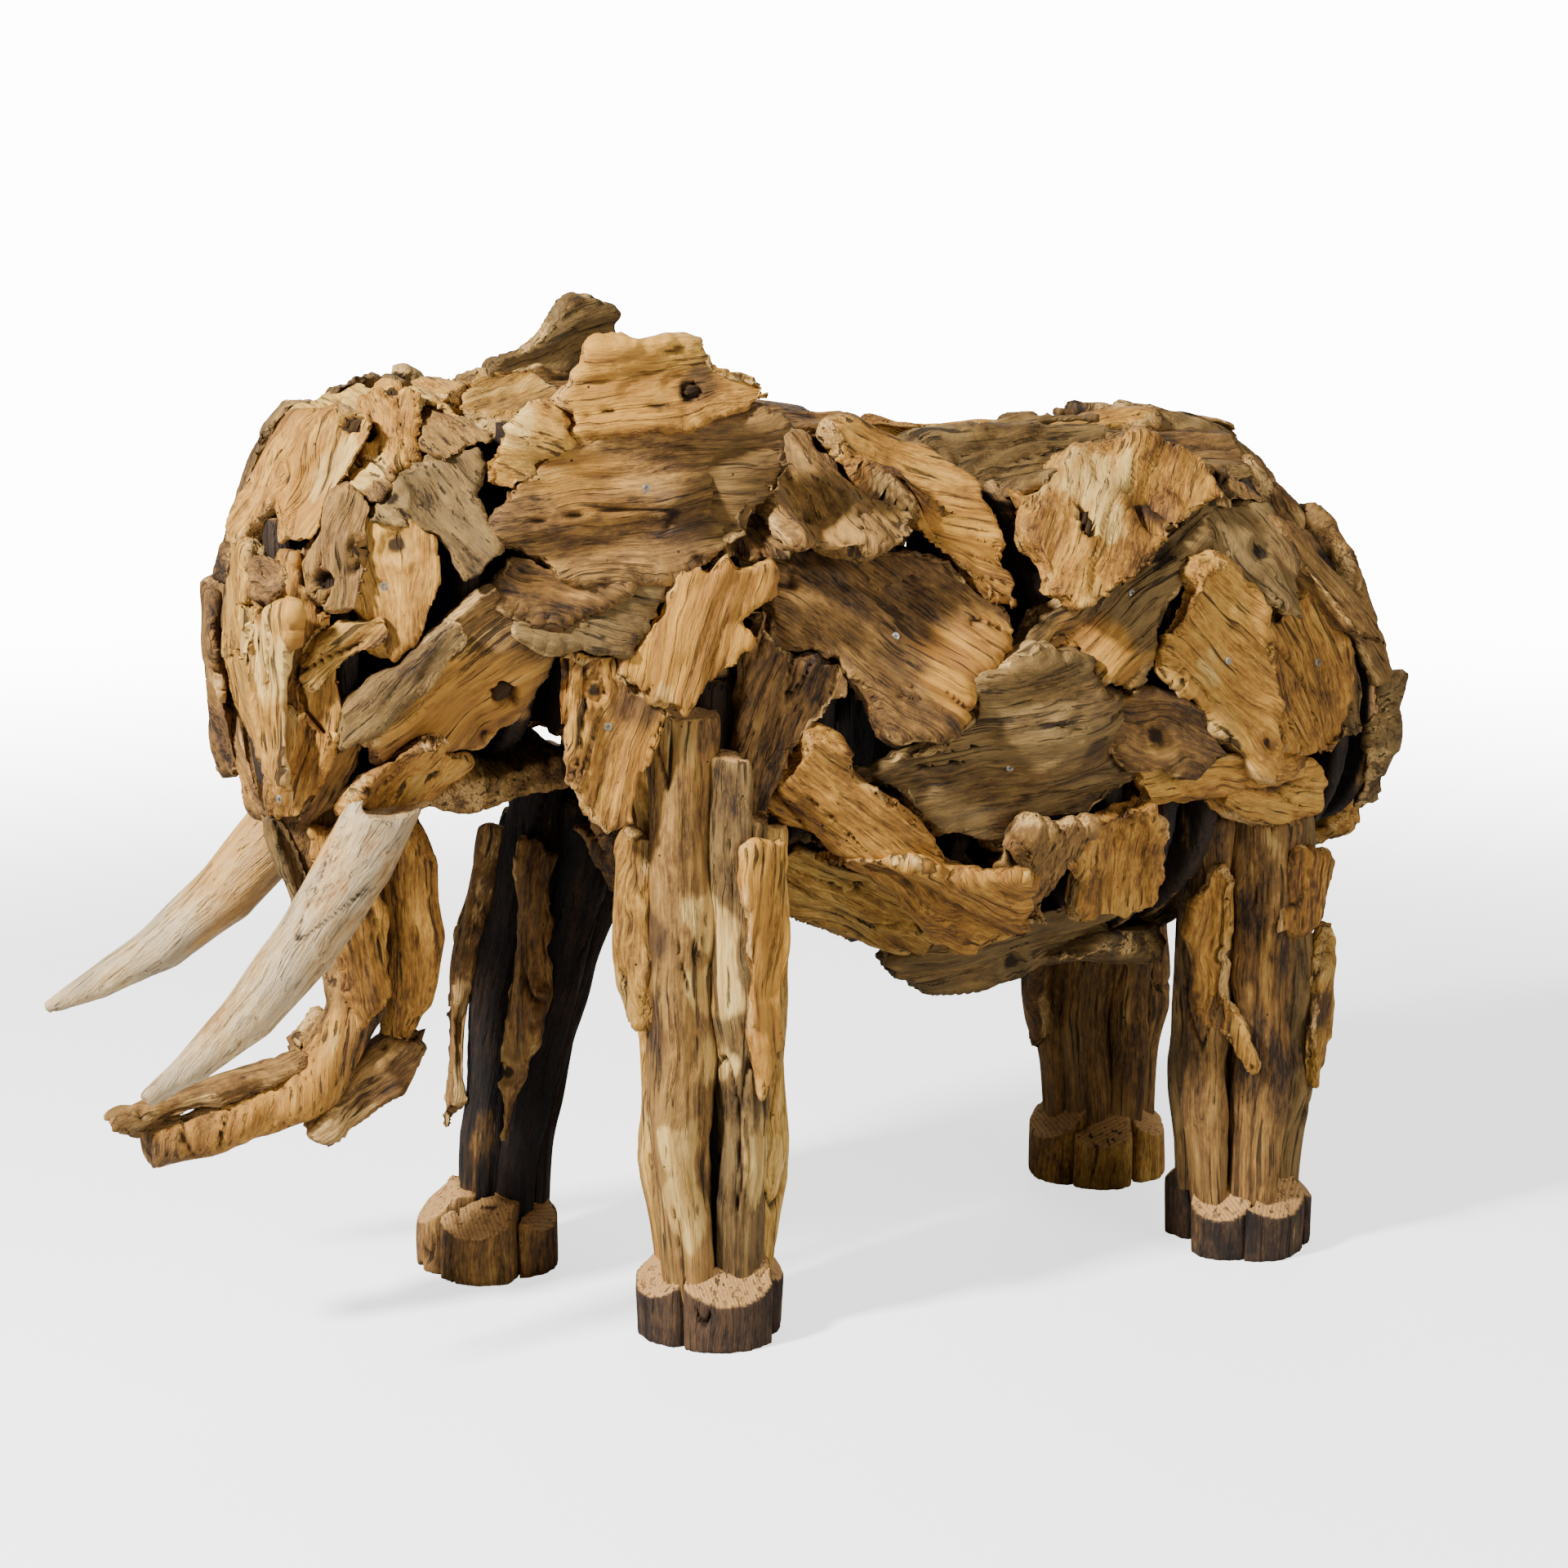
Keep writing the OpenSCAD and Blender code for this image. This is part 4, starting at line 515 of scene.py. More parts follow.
@dataclass
class Lump:
    """One loose solid of wood, with its own grain."""

    obj: bpy.types.Object
    cut: Cut
    carve: Carve
    grain: Point | None
    seed: int
    marks: list[Mark] = field(default_factory=list)

    def read(self, name: str) -> np.ndarray:
        """Read the places or normals of the vertices."""
        mesh = self.obj.data
        out = np.empty(len(mesh.vertices) * 3, np.float32)
        if name == "co":
            mesh.vertices.foreach_get("co", out)
        else:
            mesh.vertex_normals.foreach_get("vector", out)
        return out.reshape(-1, 3).astype(np.float64)

    def axes(self) -> None:
        """Find the centre, the grain, and the flat side from the shape itself."""
        mesh = self.obj.data
        count = len(mesh.polygons)
        normal = np.empty(count * 3, np.float32)
        centre = np.empty(count * 3, np.float32)
        area = np.empty(count, np.float32)
        mesh.polygons.foreach_get("normal", normal)
        mesh.polygons.foreach_get("center", centre)
        mesh.polygons.foreach_get("area", area)
        normal = normal.reshape(-1, 3).astype(np.float64)
        centre = centre.reshape(-1, 3).astype(np.float64)
        weight = area.astype(np.float64)[:, None]
        self.centre = (centre * weight).sum(axis=0) / weight.sum()
        spread = centre - self.centre
        values, shape = np.linalg.eigh((spread * weight).T @ spread)
        faces = np.linalg.eigh((normal * weight).T @ normal)[1]
        if self.cut is Cut.SLAB:
            self.flat = faces[:, 2]
            along = np.array(self.grain) if self.grain else shape[:, 2]
        else:
            along = np.array(self.grain) if self.grain else shape[:, 2]
            along = along / np.linalg.norm(along)
            self.flat = np.cross(along, np.array([0.31, 0.42, 0.23]))
            self.flat /= np.linalg.norm(self.flat)
        along = along - self.flat * (along @ self.flat)
        self.along = along / np.linalg.norm(along)
        self.across = np.cross(self.flat, self.along)

    def shape(self) -> None:
        """Round the sawn edges, then let the weather work on the wood."""
        self.axes()
        if self.carve.shrink:
            self._shrink(self.carve.shrink)
        apply_modifier(self.obj, "REMESH", mode="VOXEL", voxel_size=self.carve.voxel, use_smooth_shade=True)
        apply_modifier(self.obj, "SMOOTH", factor=0.5, iterations=self.carve.rounds)
        rng = np.random.default_rng(self.seed)
        points, normals = self.read("co"), self.read("normal")
        frame3 = np.stack([self.along, self.across, self.flat])
        local = (points - self.centre) @ frame3.T
        shift = rng.uniform(-20.0, 20.0, 3)
        side = normals @ self.flat
        if self.cut is Cut.SLAB:
            edge = 1.0 - step(0.45, 0.93, np.abs(side))
        else:
            edge = np.zeros(len(points))
        ends = edge * 0.0
        if self.cut is Cut.LOG:
            ends = step(0.72, 0.93, np.abs(normals @ self.along))
        elif self.cut is Cut.BLOCK:
            ends = step(0.28, 0.42, normals @ self.along)
        place = local + shift
        c = self.carve
        flatwise = place * np.array([1.0, 1.0, 0.15])
        move = normals * (edge * c.wobble * NOISE.at(flatwise, 0.055, 0.045, 0.1))[:, None]
        move += normals * (edge * c.wobble * 0.5 * NOISE.at(flatwise, 0.022, 0.018, 0.05))[:, None]
        move += normals * (edge * c.wobble * 0.16 * NOISE.at(flatwise, 0.014, 0.007, 0.03))[:, None]
        torn = edge * np.abs(normals @ self.along) * NOISE.at(flatwise, 0.4, 0.016, 0.05)
        move += np.outer(c.splinter * torn * np.sign(normals @ self.along), self.along)
        move += np.outer(c.warp * NOISE.at(place * np.array([1.0, 1.0, 0.0]), 0.2, 0.12, 1.0), self.flat)
        if self.cut is Cut.SLAB and c.lift:
            out = self.flat * np.sign(self.flat @ (self.centre - np.array([0.0, self.centre[1], 0.68])))
            turn = rng.uniform(0.0, 2.0 * math.pi)
            reach = local[:, 0] * math.cos(turn) + local[:, 1] * math.sin(turn)
            slope = c.lift * rng.uniform(0.35, 1.0)
            move += np.outer(np.clip(slope * reach, -0.012, 0.018) - c.sink, out)
            half = np.abs(local[:, :2]).max(axis=0)
            bowl = np.clip(((local[:, :2] / half) ** 2).sum(axis=1), 0.0, 1.4) - 0.5
            curl = rng.uniform(-0.35, 1.0) * (0.6 + 0.6 * NOISE.at(place * np.array([1.0, 1.0, 0.0]), 0.12))
            move += np.outer(c.cup * bowl * curl, out)
        move += normals * (c.swell * NOISE.at(place, 0.1, 0.055, 0.055))[:, None]
        move += normals * (c.flow * NOISE.at(place, 0.35, 0.06, 0.09) * (1.0 - ends))[:, None]
        ridge = 1.0 - 2.2 * np.abs(NOISE.at(place, 0.3, 0.024, 0.024))
        move += normals * (c.ridge * ridge * (1.0 - ends))[:, None]
        layer = (NOISE.at(place, 0.22, 0.05, 0.05) + 1.0) * 3.0
        layer = np.floor(layer) + step(0.35, 0.65, layer - np.floor(layer))
        move += normals * (c.tear * (layer - 3.0) * (1.0 - ends))[:, None]
        if c.knob:
            knob = NOISE.at(place, 0.05, 0.038, 0.038)
            move += normals * (c.knob * (np.abs(knob) * 2.0 - 0.5))[:, None]
        crack = step(0.0, 0.05, 0.055 - np.abs(NOISE.at(place, 0.2, 0.03, 0.06)))
        crack *= step(0.05, 0.3, NOISE.at(place, 0.14, 0.08, 0.08)) * (1.0 - edge * 0.6)
        move -= normals * (c.fissure * crack)[:, None]
        # Painted shade: the fissures are darkened in the finish through this pit mask, standing in for the shadow
        # inside them.
        pit_shade = crack * 0.9
        rim = edge * (0.45 + 0.55 * step(-0.2, 0.4, NOISE.at(place, 0.07)))
        stain = np.zeros(len(points))
        warm = np.zeros(len(points))
        for _ in range(int(rng.uniform() < 0.35) if self.cut is Cut.SLAB else 0):
            pick = points[int(rng.integers(0, len(points)))]
            mark = Mark("knot", tuple(pick), float(rng.uniform(0.010, 0.020)), 1.0)
            self.marks = [*self.marks, mark]
        for mark in self.marks:
            away = points - np.array(mark.at)
            deep = away @ self.flat
            if self.cut is Cut.SLAB:
                away = away - np.outer(deep, self.flat)
            dist = np.linalg.norm(away, axis=1)
            near = np.abs(deep) < 0.07 if self.cut is Cut.SLAB else np.ones(len(points), bool)
            fray = NOISE.at(points, mark.radius * 0.8) + 0.8 * NOISE.at(place, 0.07, 0.016, 0.016)
            ragged = dist * (1.0 + 0.35 * fray) / mark.radius
            inside = (1.0 - step(0.75, 1.1, ragged)) * near
            round_off = np.exp(-((dist / mark.radius) ** 2)) * near
            if mark.kind == "hole":
                move -= np.outer(np.sign(side) * inside * mark.amount, self.flat)
                # Painted shade inside the hole.
                pit_shade = np.maximum(pit_shade, inside)
            elif mark.kind == "knot":
                lift = np.exp(-(((dist / mark.radius) - 1.0) ** 2) * 4.0) * near * 0.003
                move += normals * (lift - inside * 0.005 * mark.amount)[:, None]
                # Painted shade in the hollow of the knot.
                pit_shade = np.maximum(pit_shade, (1.0 - step(0.35, 0.6, ragged)) * near)
                bend = (local - (np.array(mark.at) - self.centre) @ frame3.T)[:, 1]
                wide = np.exp(-((dist / (mark.radius * 2.2)) ** 2)) * near
                place[:, 1] -= bend * 0.75 * wide
            elif mark.kind == "dish":
                move -= normals * (round_off * mark.amount)[:, None]
            elif mark.kind == "stain":
                stain += (1.0 - step(0.3, 1.35, ragged)) * near * mark.amount
            elif mark.kind == "warm":
                warm += (1.0 - step(0.3, 1.35, ragged)) * near * mark.amount
        tone = np.full(len(points), rng.uniform(-1.0, 1.0))
        points = BARREL.draw_in(points + move)
        points[:, 2] = np.maximum(points[:, 2], 0.0)
        self.obj.data.vertices.foreach_set("co", points.astype(np.float32).ravel())
        self._field("grain", place)
        # Worn rims, painted shade in pits, and sawn ends, for the finish to read.
        self._field("wear", np.stack([rim, pit_shade, ends], axis=1))
        self._field("hue", np.stack([tone, stain, warm], axis=1))
        self.obj.data.update()

    def gather(self, foot: Point, top: float, share: float) -> None:
        """Draw the lower ends of a leg's logs together and let them down behind the toe blocks.

        Args:
            foot: the middle of the foot on the floor.
            top: the height where it begins.
            share: how far in the ends go.
        """
        points = self.read("co")
        low = 1.0 - step(0.09, top, points[:, 2])
        middle = np.array([foot[0], foot[1]])
        points[:, :2] -= (points[:, :2] - middle) * (share * low)[:, None]
        points[:, 2] -= 0.045 * (1.0 - step(0.09, 0.16, points[:, 2]))
        self.obj.data.vertices.foreach_set("co", points.astype(np.float32).ravel())
        self.obj.data.update()

    def _shrink(self, share: float) -> None:
        """Draw the solid in towards its middle; a toe block keeps its height.

        Args:
            share: how much of its width goes, or comes where it is below 0.
        """
        only(self.obj)
        tall = 1.0 if self.cut is Cut.BLOCK else 1.0 - share
        bpy.ops.object.mode_set(mode="EDIT")
        bpy.ops.mesh.select_all(action="SELECT")
        bpy.ops.transform.resize(value=(1.0 - share, 1.0 - share, tall), center_override=tuple(self.centre))
        bpy.ops.object.mode_set(mode="OBJECT")

    def _field(self, name: str, values: np.ndarray) -> None:
        """Keep three numbers on each vertex for the finish to read."""
        layer = self.obj.data.attributes.new(name, "FLOAT_VECTOR", "POINT")
        layer.data.foreach_set("vector", values.astype(np.float32).ravel())


@dataclass
class Piece:
    """One named piece of the elephant, made from its solid in the frame."""

    node: str
    finish: Finish
    cut: Cut = Cut.SLAB
    carve: Carve = Carve()
    grain: Point | None = None
    marks: tuple[Mark, ...] = ()
    spots: tuple[tuple[Point, Finish], ...] = ()
    foot: Point | None = None
    draw: tuple[float, float] = (0.24, 0.2)

    def dress(self, part: bpy.types.Object, middle: np.ndarray) -> None:
        """Give one solid the finish of the nearest spot, or the piece's own.

        Args:
            part: the solid.
            middle: its centre.
        """
        finish = self.finish
        if self.spots:
            near = min(self.spots, key=lambda spot: float(np.linalg.norm(middle - np.array(spot[0]))))
            finish = near[1]
        part.data.materials.clear()
        part.data.materials.append(finish_of(finish))

    def build(self) -> bpy.types.Object:
        """Copy the node, work each of its solids and dress the result.

        Returns:
            The finished piece.
        """
        source = frame["nodes"][self.node]
        copy = bpy.data.objects.new(f"{self.node}_wood", source.data.copy())
        bpy.context.collection.objects.link(copy)
        copy.data.materials.clear()
        only(copy)
        bpy.ops.object.mode_set(mode="EDIT")
        bpy.ops.mesh.select_all(action="SELECT")
        bpy.ops.mesh.remove_doubles(threshold=0.00002)
        bpy.ops.mesh.separate(type="LOOSE")
        bpy.ops.object.mode_set(mode="OBJECT")
        parts = sorted(bpy.context.selected_objects, key=lambda o: o.name)
        kept = []
        for number, part in enumerate(parts):
            if max(part.dimensions) < 0.03:
                bpy.data.objects.remove(part)
                continue
            lump = Lump(part, self.cut, self.carve, self.grain, seed_of(f"{self.node}{number}"), list(self.marks))
            lump.shape()
            if self.foot:
                lump.gather(self.foot, *self.draw)
            self.dress(part, lump.centre)
            kept.append(part)
        bpy.ops.object.select_all(action="DESELECT")
        for part in kept:
            part.select_set(True)
        bpy.context.view_layer.objects.active = kept[0]
        if len(kept) > 1:
            bpy.ops.object.join()
        done = bpy.context.view_layer.objects.active
        done.name = f"{self.node}_wood"
        done.data.name = done.name
        done.data.polygons.foreach_set("use_smooth", [True] * len(done.data.polygons))
        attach(done, BODY)
        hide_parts(self.node)
        slot_of(self.node)
        LOG.info("%s: %d solids, %d faces", done.name, len(kept), len(done.data.polygons))
        return done


MATERIALS: dict[Finish, bpy.types.Material] = {}


def finish_of(finish: Finish) -> bpy.types.Material:
    """Build a finish the first time that it is asked for.

    Args:
        finish: the look wanted.

    Returns:
        Its material.
    """
    if finish not in MATERIALS:
        MATERIALS[finish] = finish.value.material()
    return MATERIALS[finish]


def slot_of(node: str) -> str:
    """Name the record's material slot that a node takes its finish from.

    Args:
        node: the node's name.

    Returns:
        The slot's name.
    """
    slots = {part["node"]: part["material_slot"] for part in frame["record"]["subparts"]}
    return slots[node]


# ---------------------------------------------------------------- sub-assemblies


FACE_CARVE = Carve(
    voxel=0.004, wobble=0.007, splinter=0.008, warp=0.005, lift=0.06, swell=0.006, flow=0.004, ridge=0.0014, tear=0.003, cup=0.008, sink=0.004
)
SLAB_CARVE = Carve(wobble=0.012, warp=0.013, cup=0.022, tear=0.006, fissure=0.012)
FAR_CARVE = Carve(
    voxel=0.006, rounds=4, wobble=0.006, splinter=0.008, warp=0.008, lift=0.04, cup=0.006, sink=0.010, shrink=-0.035
)
HIDDEN_CARVE = Carve(
    voxel=0.005, rounds=4, wobble=0.006, splinter=0.006, warp=0.005, lift=0.03, cup=0.004, shrink=-0.03
)
ROOT_CARVE = Carve(
    voxel=0.004, wobble=0.012, splinter=0.012, warp=0.004, lift=0.0, cup=0.0, sink=-0.006, shrink=-0.16, knob=0.004
)
FRONT_CARVE = Carve(
    voxel=0.004, wobble=0.006, splinter=0.006, warp=0.003, lift=0.0, cup=-0.006, sink=0.018, swell=0.006, flow=0.003
)
LOG_CARVE = Carve(voxel=0.004, rounds=6, warp=0.0, swell=0.009, flow=0.005, ridge=0.0016, fissure=0.007, tear=0.0025)
TUSK_CARVE = Carve(
    voxel=0.004, rounds=12, warp=0.0, swell=0.003, flow=0.0015, ridge=0.0003, tear=0.0006, fissure=0.002
)
TOE_CARVE = Carve(voxel=0.0035, rounds=3, warp=0.0, swell=0.003, flow=0.002, ridge=0.0008, tear=0.0, shrink=0.05)
LEVEL = (0.0, 1.0, 0.08)
STEEP = (0.0, 0.25, 1.0)
FALLING = (0.0, 0.7, -0.6)
RISING = (0.0, 0.7, 0.6)


ALONG = (0.0, 1.0, -0.3)


@dataclass
class Ears:
    """The two raised ears: each a crest, a broad sheet, front strips and a lobe, and on the left a lower slab as well.
    """

    carve: Carve = Carve(voxel=0.0045, wobble=0.010, warp=0.012, lift=0.05)
    thick_x: float = 0.24

    def pieces(self) -> list[Piece]:
        """List the slabs of both ears."""
        c, x = self.carve, self.thick_x
        crest = (
            Mark("stain", (x, -0.22, 1.11), 0.028, -0.6),
            Mark("hole", (x, -0.23, 1.10), 0.010, 0.012),
            Mark("warm", (x, -0.31, 1.11), 0.07, 0.7),
        )
        sheet = (
            Mark("dish", (x, -0.17, 0.99), 0.05, 0.026),
            Mark("dish", (x, -0.245, 0.98), 0.03, -0.022),
            Mark("warm", (x, -0.15, 0.98), 0.10, -0.6),
            Mark("warm", (x, -0.34, 0.99), 0.07, 0.35),
            Mark("stain", (x, -0.24, 0.95), 0.03, -0.6),
        )
        lobe = (Mark("warm", (x, -0.24, 0.85), 0.09, 1.0), Mark("stain", (x, -0.27, 0.77), 0.02, 0.5))
        lower = (Mark("stain", (x, -0.29, 0.76), 0.045, -0.5), Mark("warm", (x, -0.27, 0.69), 0.06, 0.6))
        return [
            Piece("ear_left_crest", Finish.GOLD, carve=c, marks=crest),
            Piece("ear_left_sheet", Finish.BROWN, carve=c, grain=LEVEL, marks=sheet),
            Piece(
                "ear_left_front",
                Finish.PALE,
                carve=c,
                grain=ALONG,
                marks=(Mark("stain", (0.2, -0.42, 1.07), 0.03, 0.8),),
                spots=(
                    ((0.21, -0.33, 0.86), Finish.GREY),
                    ((0.20, -0.37, 0.89), Finish.BROWN),
                    ((0.20, -0.41, 1.05), Finish.GOLD),
                ),
            ),
            Piece("ear_left_lobe", Finish.GOLD, carve=c, grain=STEEP, marks=lobe),
            Piece("ear_left_lower", Finish.GOLD, carve=c, grain=STEEP, marks=lower),
            Piece("ear_right_crest", Finish.GREY, carve=c),
            Piece("ear_right_sheet", Finish.BROWN, carve=c, grain=LEVEL),
            Piece("ear_right_front", Finish.GREY, carve=c, grain=ALONG),
            Piece("ear_right_lobe", Finish.GOLD, carve=replace(c, shrink=-0.16), grain=STEEP),
        ]


@dataclass
class Head:
    """The head: small knobbly slabs laid like scales round the eyes, cheeks and jaw."""

    carve: Carve = FACE_CARVE
    hidden: Carve = HIDDEN_CARVE
    hole_r: float = 0.011

    def pieces(self) -> list[Piece]:
        """List the slabs of the head."""
        c, h, r = self.carve, self.hidden, self.hole_r
        forehead = (
            ((0.08, -0.60, 1.01), Finish.GOLD),
            ((0.11, -0.56, 1.01), Finish.BROWN),
            ((0.08, -0.52, 1.06), Finish.GOLD),
            ((0.07, -0.45, 1.08), Finish.PALE),
            ((0.10, -0.47, 1.06), Finish.BROWN),
        )
        cheek = (
            ((0.10, -0.62, 0.77), Finish.GOLD),
            ((0.13, -0.60, 0.82), Finish.PALE),
            ((0.16, -0.55, 0.79), Finish.GREY),
            ((0.15, -0.54, 0.90), Finish.GOLD),
        )
        face = (
            ((0.07, -0.63, 0.69), Finish.GOLD),
            ((0.07, -0.59, 0.67), Finish.BROWN),
            ((0.10, -0.67, 0.76), Finish.GOLD),
            ((0.10, -0.63, 0.84), Finish.GOLD),
            ((0.05, -0.67, 0.84), Finish.PALE),
            ((0.06, -0.66, 0.90), Finish.BROWN),
        )
        front = (((0.0, -0.65, 0.75), Finish.GOLD), ((0.0, -0.66, 0.88), Finish.PALE), ((0.0, -0.62, 1.0), Finish.GOLD))
        crown = (
            ((0.0, -0.46, 1.09), Finish.GOLD),
            ((-0.05, -0.35, 1.08), Finish.GREY),
            ((0.0, -0.56, 1.07), Finish.PALE),
            ((0.01, -0.24, 0.98), Finish.BROWN),
            ((0.07, -0.37, 1.08), Finish.PALE),
        )
        return [
            Piece("socket_left", Finish.GOLD, carve=ROOT_CARVE),
            Piece(
                "forehead_left",
                Finish.GOLD,
                carve=c,
                marks=(
                    Mark("stain", (0.1, -0.565, 1.00), 0.032, 1.0),
                    Mark("warm", (0.08, -0.62, 1.00), 0.05, 0.9),
                    Mark("hole", (0.08, -0.543, 1.05), r, 0.014),
                ),
                spots=forehead,
            ),
            Piece("brow_left", Finish.GREY, carve=c),
            Piece("eye_left", Finish.BROWN, carve=c, marks=(Mark("hole", (0.13, -0.613, 0.903), r, 0.016),)),
            Piece("cheek_left", Finish.GOLD, carve=replace(c, shrink=-0.1), spots=cheek),
            Piece("face_left", Finish.GOLD, carve=FRONT_CARVE, spots=face, marks=(Mark("stain", (0.1, -0.67, 0.82), 0.05, 0.8),)),
            Piece(
                "jaw_left",
                Finish.BROWN,
                carve=c,
                grain=RISING,
                marks=(
                    Mark("hole", (0.2, -0.426, 0.755), 0.014, 0.02),
                    Mark("warm", (0.18, -0.47, 0.75), 0.09, 0.6),
                    Mark("stain", (0.2, -0.40, 0.84), 0.04, -0.4),
                ),
            ),
            Piece("socket_right", Finish.GOLD, carve=ROOT_CARVE),
            Piece("forehead_right", Finish.GREY, carve=h),
            Piece("eye_right", Finish.BROWN, carve=h, marks=(Mark("hole", (-0.13, -0.613, 0.903), r, 0.016),)),
            Piece("cheek_right", Finish.GOLD, carve=h),
            Piece("face_right", Finish.BROWN, carve=replace(FRONT_CARVE, sink=0.034)),
            Piece("jaw_right", Finish.BROWN, carve=replace(h, shrink=-0.24), grain=RISING),
            Piece("face_front", Finish.GOLD, carve=FRONT_CARVE, spots=front),
            Piece("crown", Finish.GREY, carve=c, spots=crown),
            Piece("throat", Finish.BROWN, carve=replace(h, shrink=-0.22)),
        ]


@dataclass
class Body:
    """The trunk of the body: big root slabs over the shoulder, flanks, hips, back, rump and belly."""

    near: Carve = SLAB_CARVE
    far: Carve = FAR_CARVE

    def pieces(self) -> list[Piece]:
        """List the slabs of the body."""
        n, f = self.near, self.far
        saddle = (
            Mark("dish", (0.2, 0.05, 0.99), 0.07, 0.035),
            Mark("stain", (0.2, 0.03, 0.99), 0.06, -0.6),
            Mark("warm", (0.24, 0.10, 0.93), 0.07, 0.6),
        )
        pale = (
            Mark("stain", (0.22, 0.29, 1.00), 0.07, 0.6),
            Mark("stain", (0.25, 0.36, 0.93), 0.020, -1.0),
            Mark("dish", (0.25, 0.355, 0.95), 0.018, 0.02),
            Mark("dish", (0.25, 0.36, 0.91), 0.018, 0.02),
            Mark("dish", (0.25, 0.32, 0.94), 0.03, -0.014),
            Mark("dish", (0.25, 0.22, 0.95), 0.03, -0.014),
            *(Mark("hole", (0.25, 0.335 - 0.08 * z, z), 0.007, 0.022) for z in (0.89, 0.90, 0.91, 0.92, 0.93)),
            *(Mark("hole", (0.25, 0.339 - 0.08 * z, z), 0.006, 0.022) for z in (0.94, 0.95, 0.96, 0.97, 0.98)),
            Mark("stain", (0.25, 0.29, 0.90), 0.03, 0.7),
        )
        curl = (
            Mark("warm", (0.3, 0.10, 0.77), 0.08, 0.9),
            Mark("dish", (0.3, 0.03, 0.86), 0.07, 0.030),
            Mark("dish", (0.3, 0.08, 0.76), 0.05, -0.020),
            Mark("stain", (0.3, 0.02, 0.80), 0.05, -0.5),
        )
        flank = (
            Mark("dish", (0.3, 0.20, 0.70), 0.07, -0.022),
            Mark("dish", (0.3, 0.13, 0.64), 0.04, 0.016),
            Mark("dish", (0.3, 0.28, 0.66), 0.04, 0.018),
            Mark("stain", (0.3, 0.25, 0.68), 0.025, -0.7),
        )
        hip = (
            ((0.17, 0.49, 0.96), Finish.BROWN),
            ((0.26, 0.30, 0.84), Finish.GREY),
            ((0.24, 0.49, 0.87), Finish.GREY),
            ((0.28, 0.43, 0.63), Finish.GOLD),
            ((0.30, 0.34, 0.69), Finish.BROWN),
        )
        hip_marks = (
            Mark("warm", (0.3, 0.24, 0.77), 0.07, 0.8),
            Mark("knot", (0.25, 0.50, 0.88), 0.02, 1.0),
            Mark("knot", (0.3, 0.33, 0.69), 0.02, 1.0),
        )
        rear = (
            ((0.27, 0.52, 0.59), Finish.GOLD),
            ((0.26, 0.57, 0.73), Finish.GOLD),
            ((0.24, 0.61, 0.85), Finish.BROWN),
            ((0.23, 0.66, 0.71), Finish.GREY),
        )
        belly = (
            ((0.10, 0.02, 0.48), Finish.PALE),
            ((0.09, 0.25, 0.40), Finish.GREY),
            ((0.23, 0.08, 0.50), Finish.GOLD),
            ((0.24, 0.19, 0.52), Finish.BROWN),
            ((0.26, 0.31, 0.53), Finish.GOLD),
        )
        back = (
            ((0.0, -0.1, 1.0), Finish.BROWN),
            ((0.1, 0.2, 1.0), Finish.GREY),
            ((-0.1, 0.3, 1.0), Finish.GOLD),
            ((0.1, 0.5, 1.0), Finish.BROWN),
            ((-0.1, 0.6, 1.0), Finish.GREY),
        )
        rump = (
            ((0.15, 0.8, 0.8), Finish.BROWN),
            ((-0.15, 0.8, 0.8), Finish.GREY),
            ((0.1, 0.8, 0.6), Finish.GREY),
            ((-0.1, 0.8, 0.6), Finish.GOLD),
        )
        return [
            Piece("shoulder_left", Finish.BROWN, carve=replace(n, shrink=-0.05, sink=0.006)),
            Piece("saddle_left", Finish.GOLD, carve=n, grain=FALLING, marks=saddle),
            Piece("curl_left", Finish.BROWN, carve=n, grain=FALLING, marks=curl),
            Piece("diagonal_left", Finish.GOLD, carve=n),
            Piece("flank_left", Finish.GREY, carve=n, marks=flank),
            Piece("hip_left_pale", Finish.GOLD, carve=n, grain=STEEP, marks=pale),
            Piece("hip_left_gold", Finish.GOLD, carve=n, grain=FALLING, marks=(Mark("stain", (0.28, 0.40, 0.75), 0.03, 0.7),)),
            Piece("hip_left_grey", Finish.GREY, carve=n, spots=hip, marks=hip_marks),
            Piece("hip_left_rear", Finish.GOLD, carve=replace(n, sink=0.012, lift=0.03), spots=rear),
            Piece("belly_left", Finish.BROWN, carve=n, spots=belly),
            Piece("flank_right_rear", Finish.BROWN, carve=f),
            Piece("flank_right_mid", Finish.GOLD, carve=f),
            Piece("flank_right_fore", Finish.GREY, carve=f),
            Piece("belly_right", Finish.BROWN, carve=f),
            Piece("back", Finish.BROWN, carve=replace(f, sink=0.016), spots=back),
            Piece("rump", Finish.BROWN, carve=replace(f, sink=0.010), spots=rump),
            Piece("belly_floor", Finish.GREY, carve=f),
            Piece("chest", Finish.BROWN, carve=replace(f, shrink=-0.12)),
        ]


